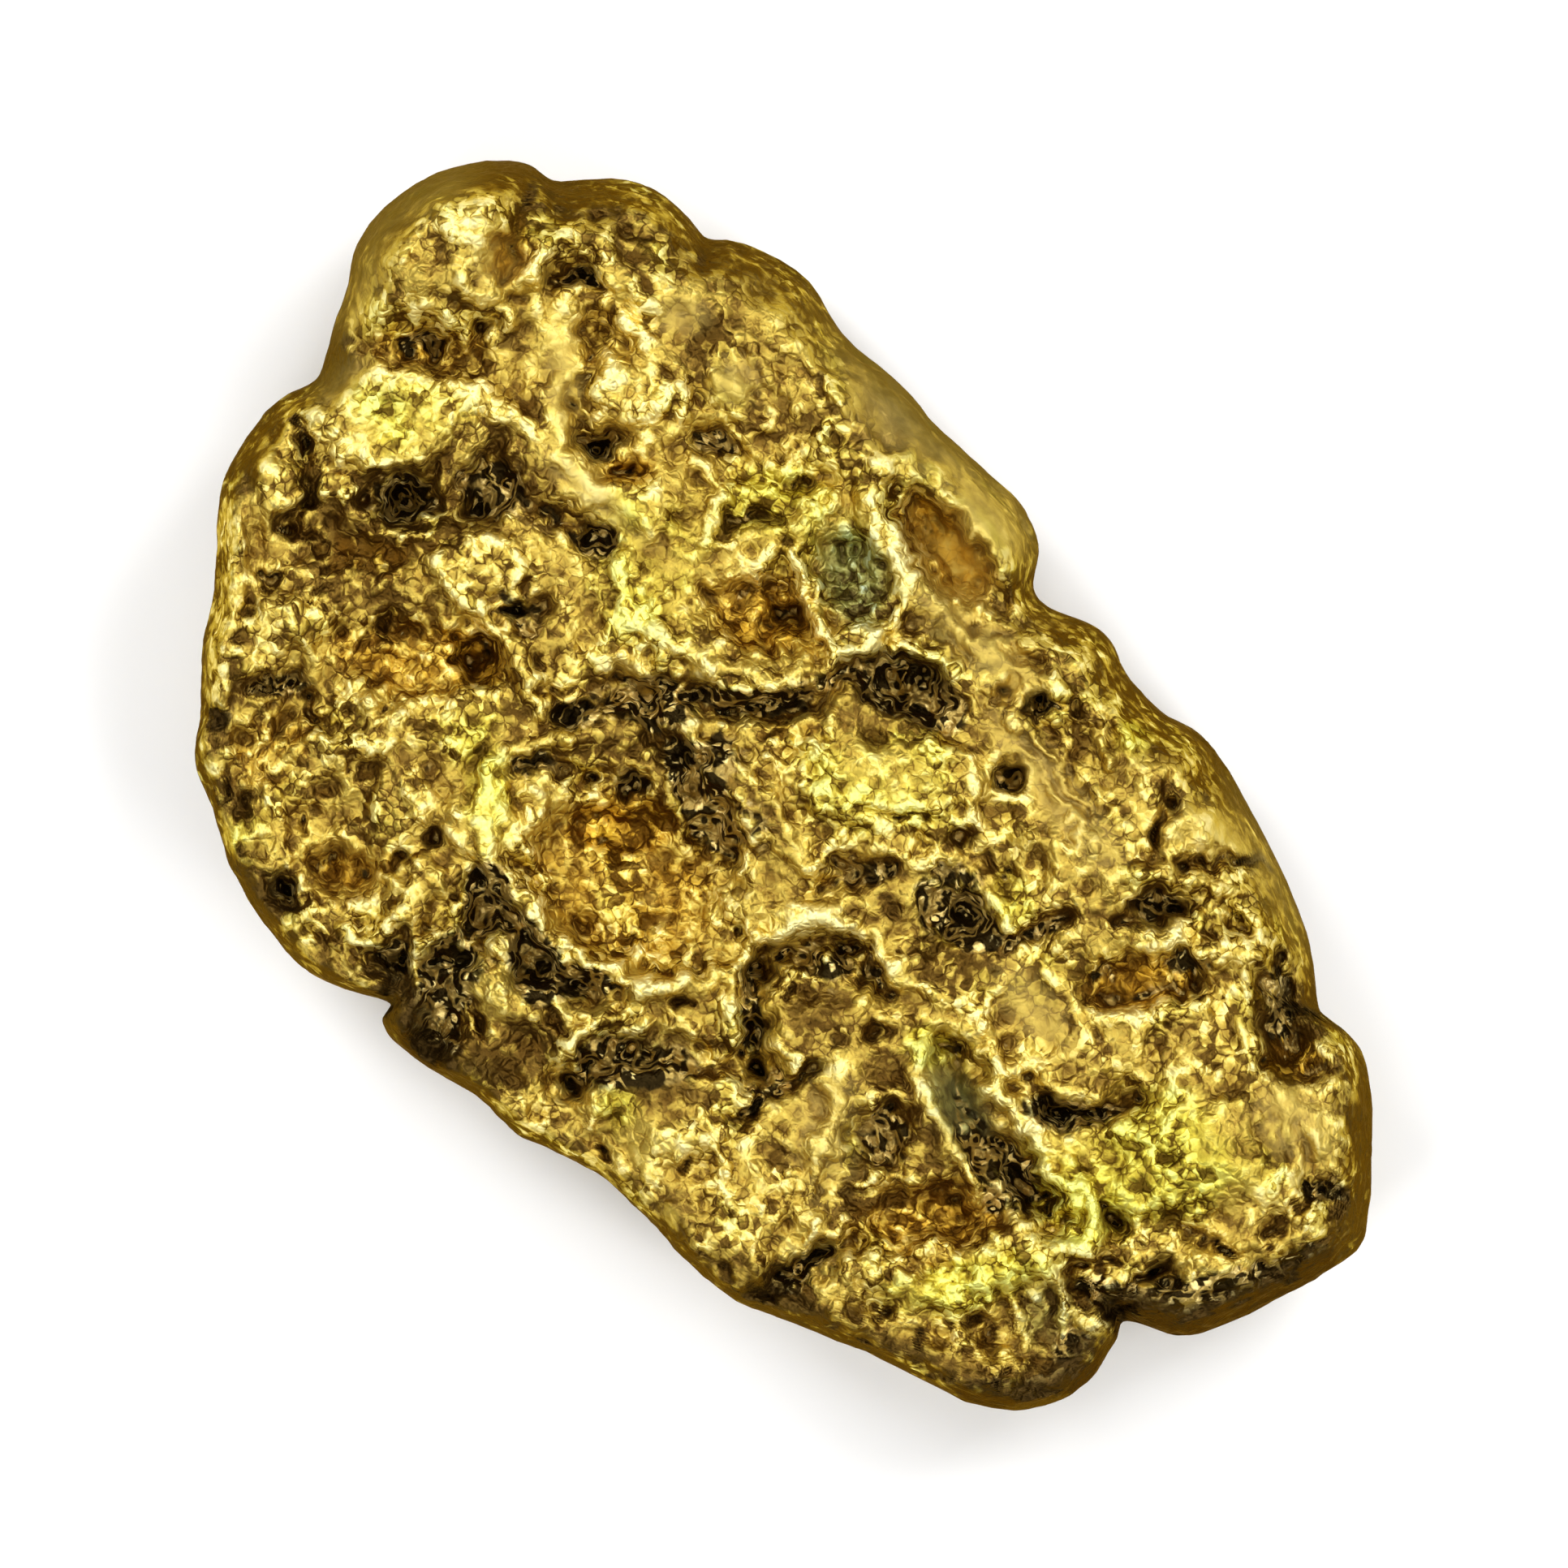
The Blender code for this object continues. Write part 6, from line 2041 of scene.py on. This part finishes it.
    def wall_shade_share(self, bench: NodeBench, patterns: GoldPatterns) -> Socket:
        """How much painted shade darkens the side walls.

        Args:
            bench: The bench of the material.
            patterns: Its small patterns.

        Returns:
            A number from 0 to 1, a little higher along the -Y side, which is painted as lying more in shade,
            and highest in a thin line all round.
        """
        across = bench.add("ShaderNodeSeparateXYZ")
        bench.join(bench.place(), across.inputs[0])
        shade = bench.total(
            (bench.ramp(across.outputs["Y"], 0.0035, -0.0025), 0.10),
            (0.5, 1.0),
            (bench.centred(bench.noise(0.0003, 4.0, 0.75)), 2.6),
            (bench.centred(patterns.flecks), -1.5),
            (bench.attribute(Tone.BROWN.value), 0.7),
            (bench.attribute(Tone.BRIGHT.value), -0.5),
        )
        wall = bench.attribute("side")
        line = bench.product(bench.ramp(wall, 1.0, EDGE_SHADE), 0.5)
        return bench.math("ADD", bench.product(shade, wall), line, clamp=True)

    def roughness(self, bench: NodeBench, patterns: GoldPatterns) -> Socket:
        """How dull the gold is.

        Args:
            bench: The bench of the material.
            patterns: Its small patterns.

        Returns:
            The roughness, lower on the worn crests than in the hollows.
        """
        return bench.total(
            (self.worn_roughness, 1.0),
            (bench.ramp(bench.attribute("hollow"), -5.0, 25.0), self.hollow_roughness - self.worn_roughness),
            (bench.attribute(Tone.POLISH.value), 0.1),
            (bench.centred(patterns.bead), 0.1),
        )

    def relief(self, bench: NodeBench, patterns: GoldPatterns) -> Socket:
        """The grain of the skin.

        Args:
            bench: The bench of the material.
            patterns: Its small patterns.

        Returns:
            The surface's direction after the worm-like folds, the flecks and the beads.
        """
        normal = None
        for height, pattern in (
            (self.worm_height, patterns.worms),
            (self.fleck_height, patterns.flecks),
            (self.bead_height, bench.ramp(patterns.between, 0.0, 0.4)),
        ):
            bump = bench.add("ShaderNodeBump")
            bench.join(patterns.rough, bump.inputs["Strength"])
            bump.inputs["Distance"].default_value = height
            bench.join(pattern, bump.inputs["Height"])
            if normal is not None:
                bench.join(normal, bump.inputs["Normal"])
            normal = bump.outputs["Normal"]
        return normal


@dataclass(frozen=True)
class PaleGround:
    """The plain pale floor that the nugget lies on."""

    side: float = 0.6
    gap: float = 0.00002  # so that it doesn't cut the worn feet
    colour: tuple = (0.96, 0.96, 0.96, 1)

    def build(self) -> bpy.types.Object:
        """Lays the floor.

        Returns:
            The floor's object.
        """
        bpy.ops.object.select_all(action="DESELECT")
        bpy.ops.mesh.primitive_plane_add(size=self.side, location=(0, 0, -self.gap))
        floor = bpy.context.object
        floor.name = "floor"
        material = bpy.data.materials.new("pale_ground")
        material.use_nodes = True
        shader = material.node_tree.nodes["Principled BSDF"]
        shader.inputs["Base Color"].default_value = self.colour
        shader.inputs["Roughness"].default_value = 0.9
        floor.data.materials.append(material)
        return floor


@dataclass(frozen=True)
class Softbox:
    """A square soft light that faces the nugget. Its bearing is clockwise from the top of the picture."""

    name: str
    bearing: float
    elevation: float
    distance: float
    side: float
    radiance: float

    def build(self) -> bpy.types.Object:
        """Hangs the light and turns it to the nugget.

        Returns:
            The light's object.
        """
        light = bpy.data.lights.new(self.name, "AREA")
        light.size = self.side
        light.energy = self.radiance * math.pi * self.side**2
        lamp = bpy.data.objects.new(self.name, light)
        bpy.context.scene.collection.objects.link(lamp)
        turn = LONG_AXIS_SOUTH_OF_EAST + math.radians(90.0 - self.bearing)
        flat = math.cos(math.radians(self.elevation))
        way = Vector((math.cos(turn) * flat, math.sin(turn) * flat, math.sin(math.radians(self.elevation))))
        lamp.location = way * self.distance
        lamp.rotation_euler = way.to_track_quat("Z", "Y").to_euler()
        return lamp


@dataclass(frozen=True)
class Studio:
    """Plain soft light all round, and the camera straight above the nugget."""

    surroundings: tuple = (0.17, 0.17, 0.17, 1)
    softboxes: tuple = (
        Softbox("overhead", 0, 88, 0.40, 0.20, 1.6),
        Softbox("north_east", 50, 50, 0.12, 0.05, 10.0),
        Softbox("north_west", 315, 46, 0.12, 0.045, 11.0),
        Softbox("south_west", 225, 48, 0.12, 0.04, 10.0),
        Softbox("south_east", 130, 44, 0.12, 0.04, 10.0),
    )
    lens: float = 600.0  # millimetres, on a 36 mm sensor
    sensor: float = 36.0
    focus_height: float = 0.0016

    def build(self) -> None:
        """Hangs the lights, sets the surroundings and places the camera."""
        scene = bpy.context.scene
        scene.world = bpy.data.worlds.new("surroundings")
        scene.world.use_nodes = True
        scene.world.node_tree.nodes["Background"].inputs["Color"].default_value = self.surroundings
        for softbox in self.softboxes:
            softbox.build()
        scene.camera = self.camera()
        scene.view_settings.view_transform = "Standard"

    def camera(self) -> bpy.types.Object:
        """The camera, looking straight down with the map's east to its right.

        Returns:
            The camera's object.
        """
        lens = bpy.data.cameras.new("camera")
        lens.lens = self.lens
        lens.sensor_width = self.sensor
        lens.clip_start = 0.001
        camera = bpy.data.objects.new("camera", lens)
        bpy.context.scene.collection.objects.link(camera)
        middle = np.array([[MAP_SIZE / 2, MAP_SIZE / 2]])
        x, y, _ = to_metres(middle, np.zeros(1))[0]
        distance = MAP_SIZE * METRES_PER_UNIT * self.lens / self.sensor
        camera.location = (x, y, distance + self.focus_height)
        camera.rotation_euler = (0, 0, LONG_AXIS_SOUTH_OF_EAST)
        return camera


def main() -> None:
    """Builds the nugget's skin, dresses it and sets up the studio."""
    logging.basicConfig(level=logging.INFO, format="%(message)s")
    nugget = NuggetSkin().build()
    nugget.data.materials.append(NativeGold().material())
    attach(nugget, "root")
    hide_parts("nugget")
    logging.info("%s: %d triangles", nugget.name, len(nugget.data.polygons))
    floor = PaleGround().build()
    logging.info("%s: laid", floor.name)
    Studio().build()


if __name__ == "__main__":
    main()
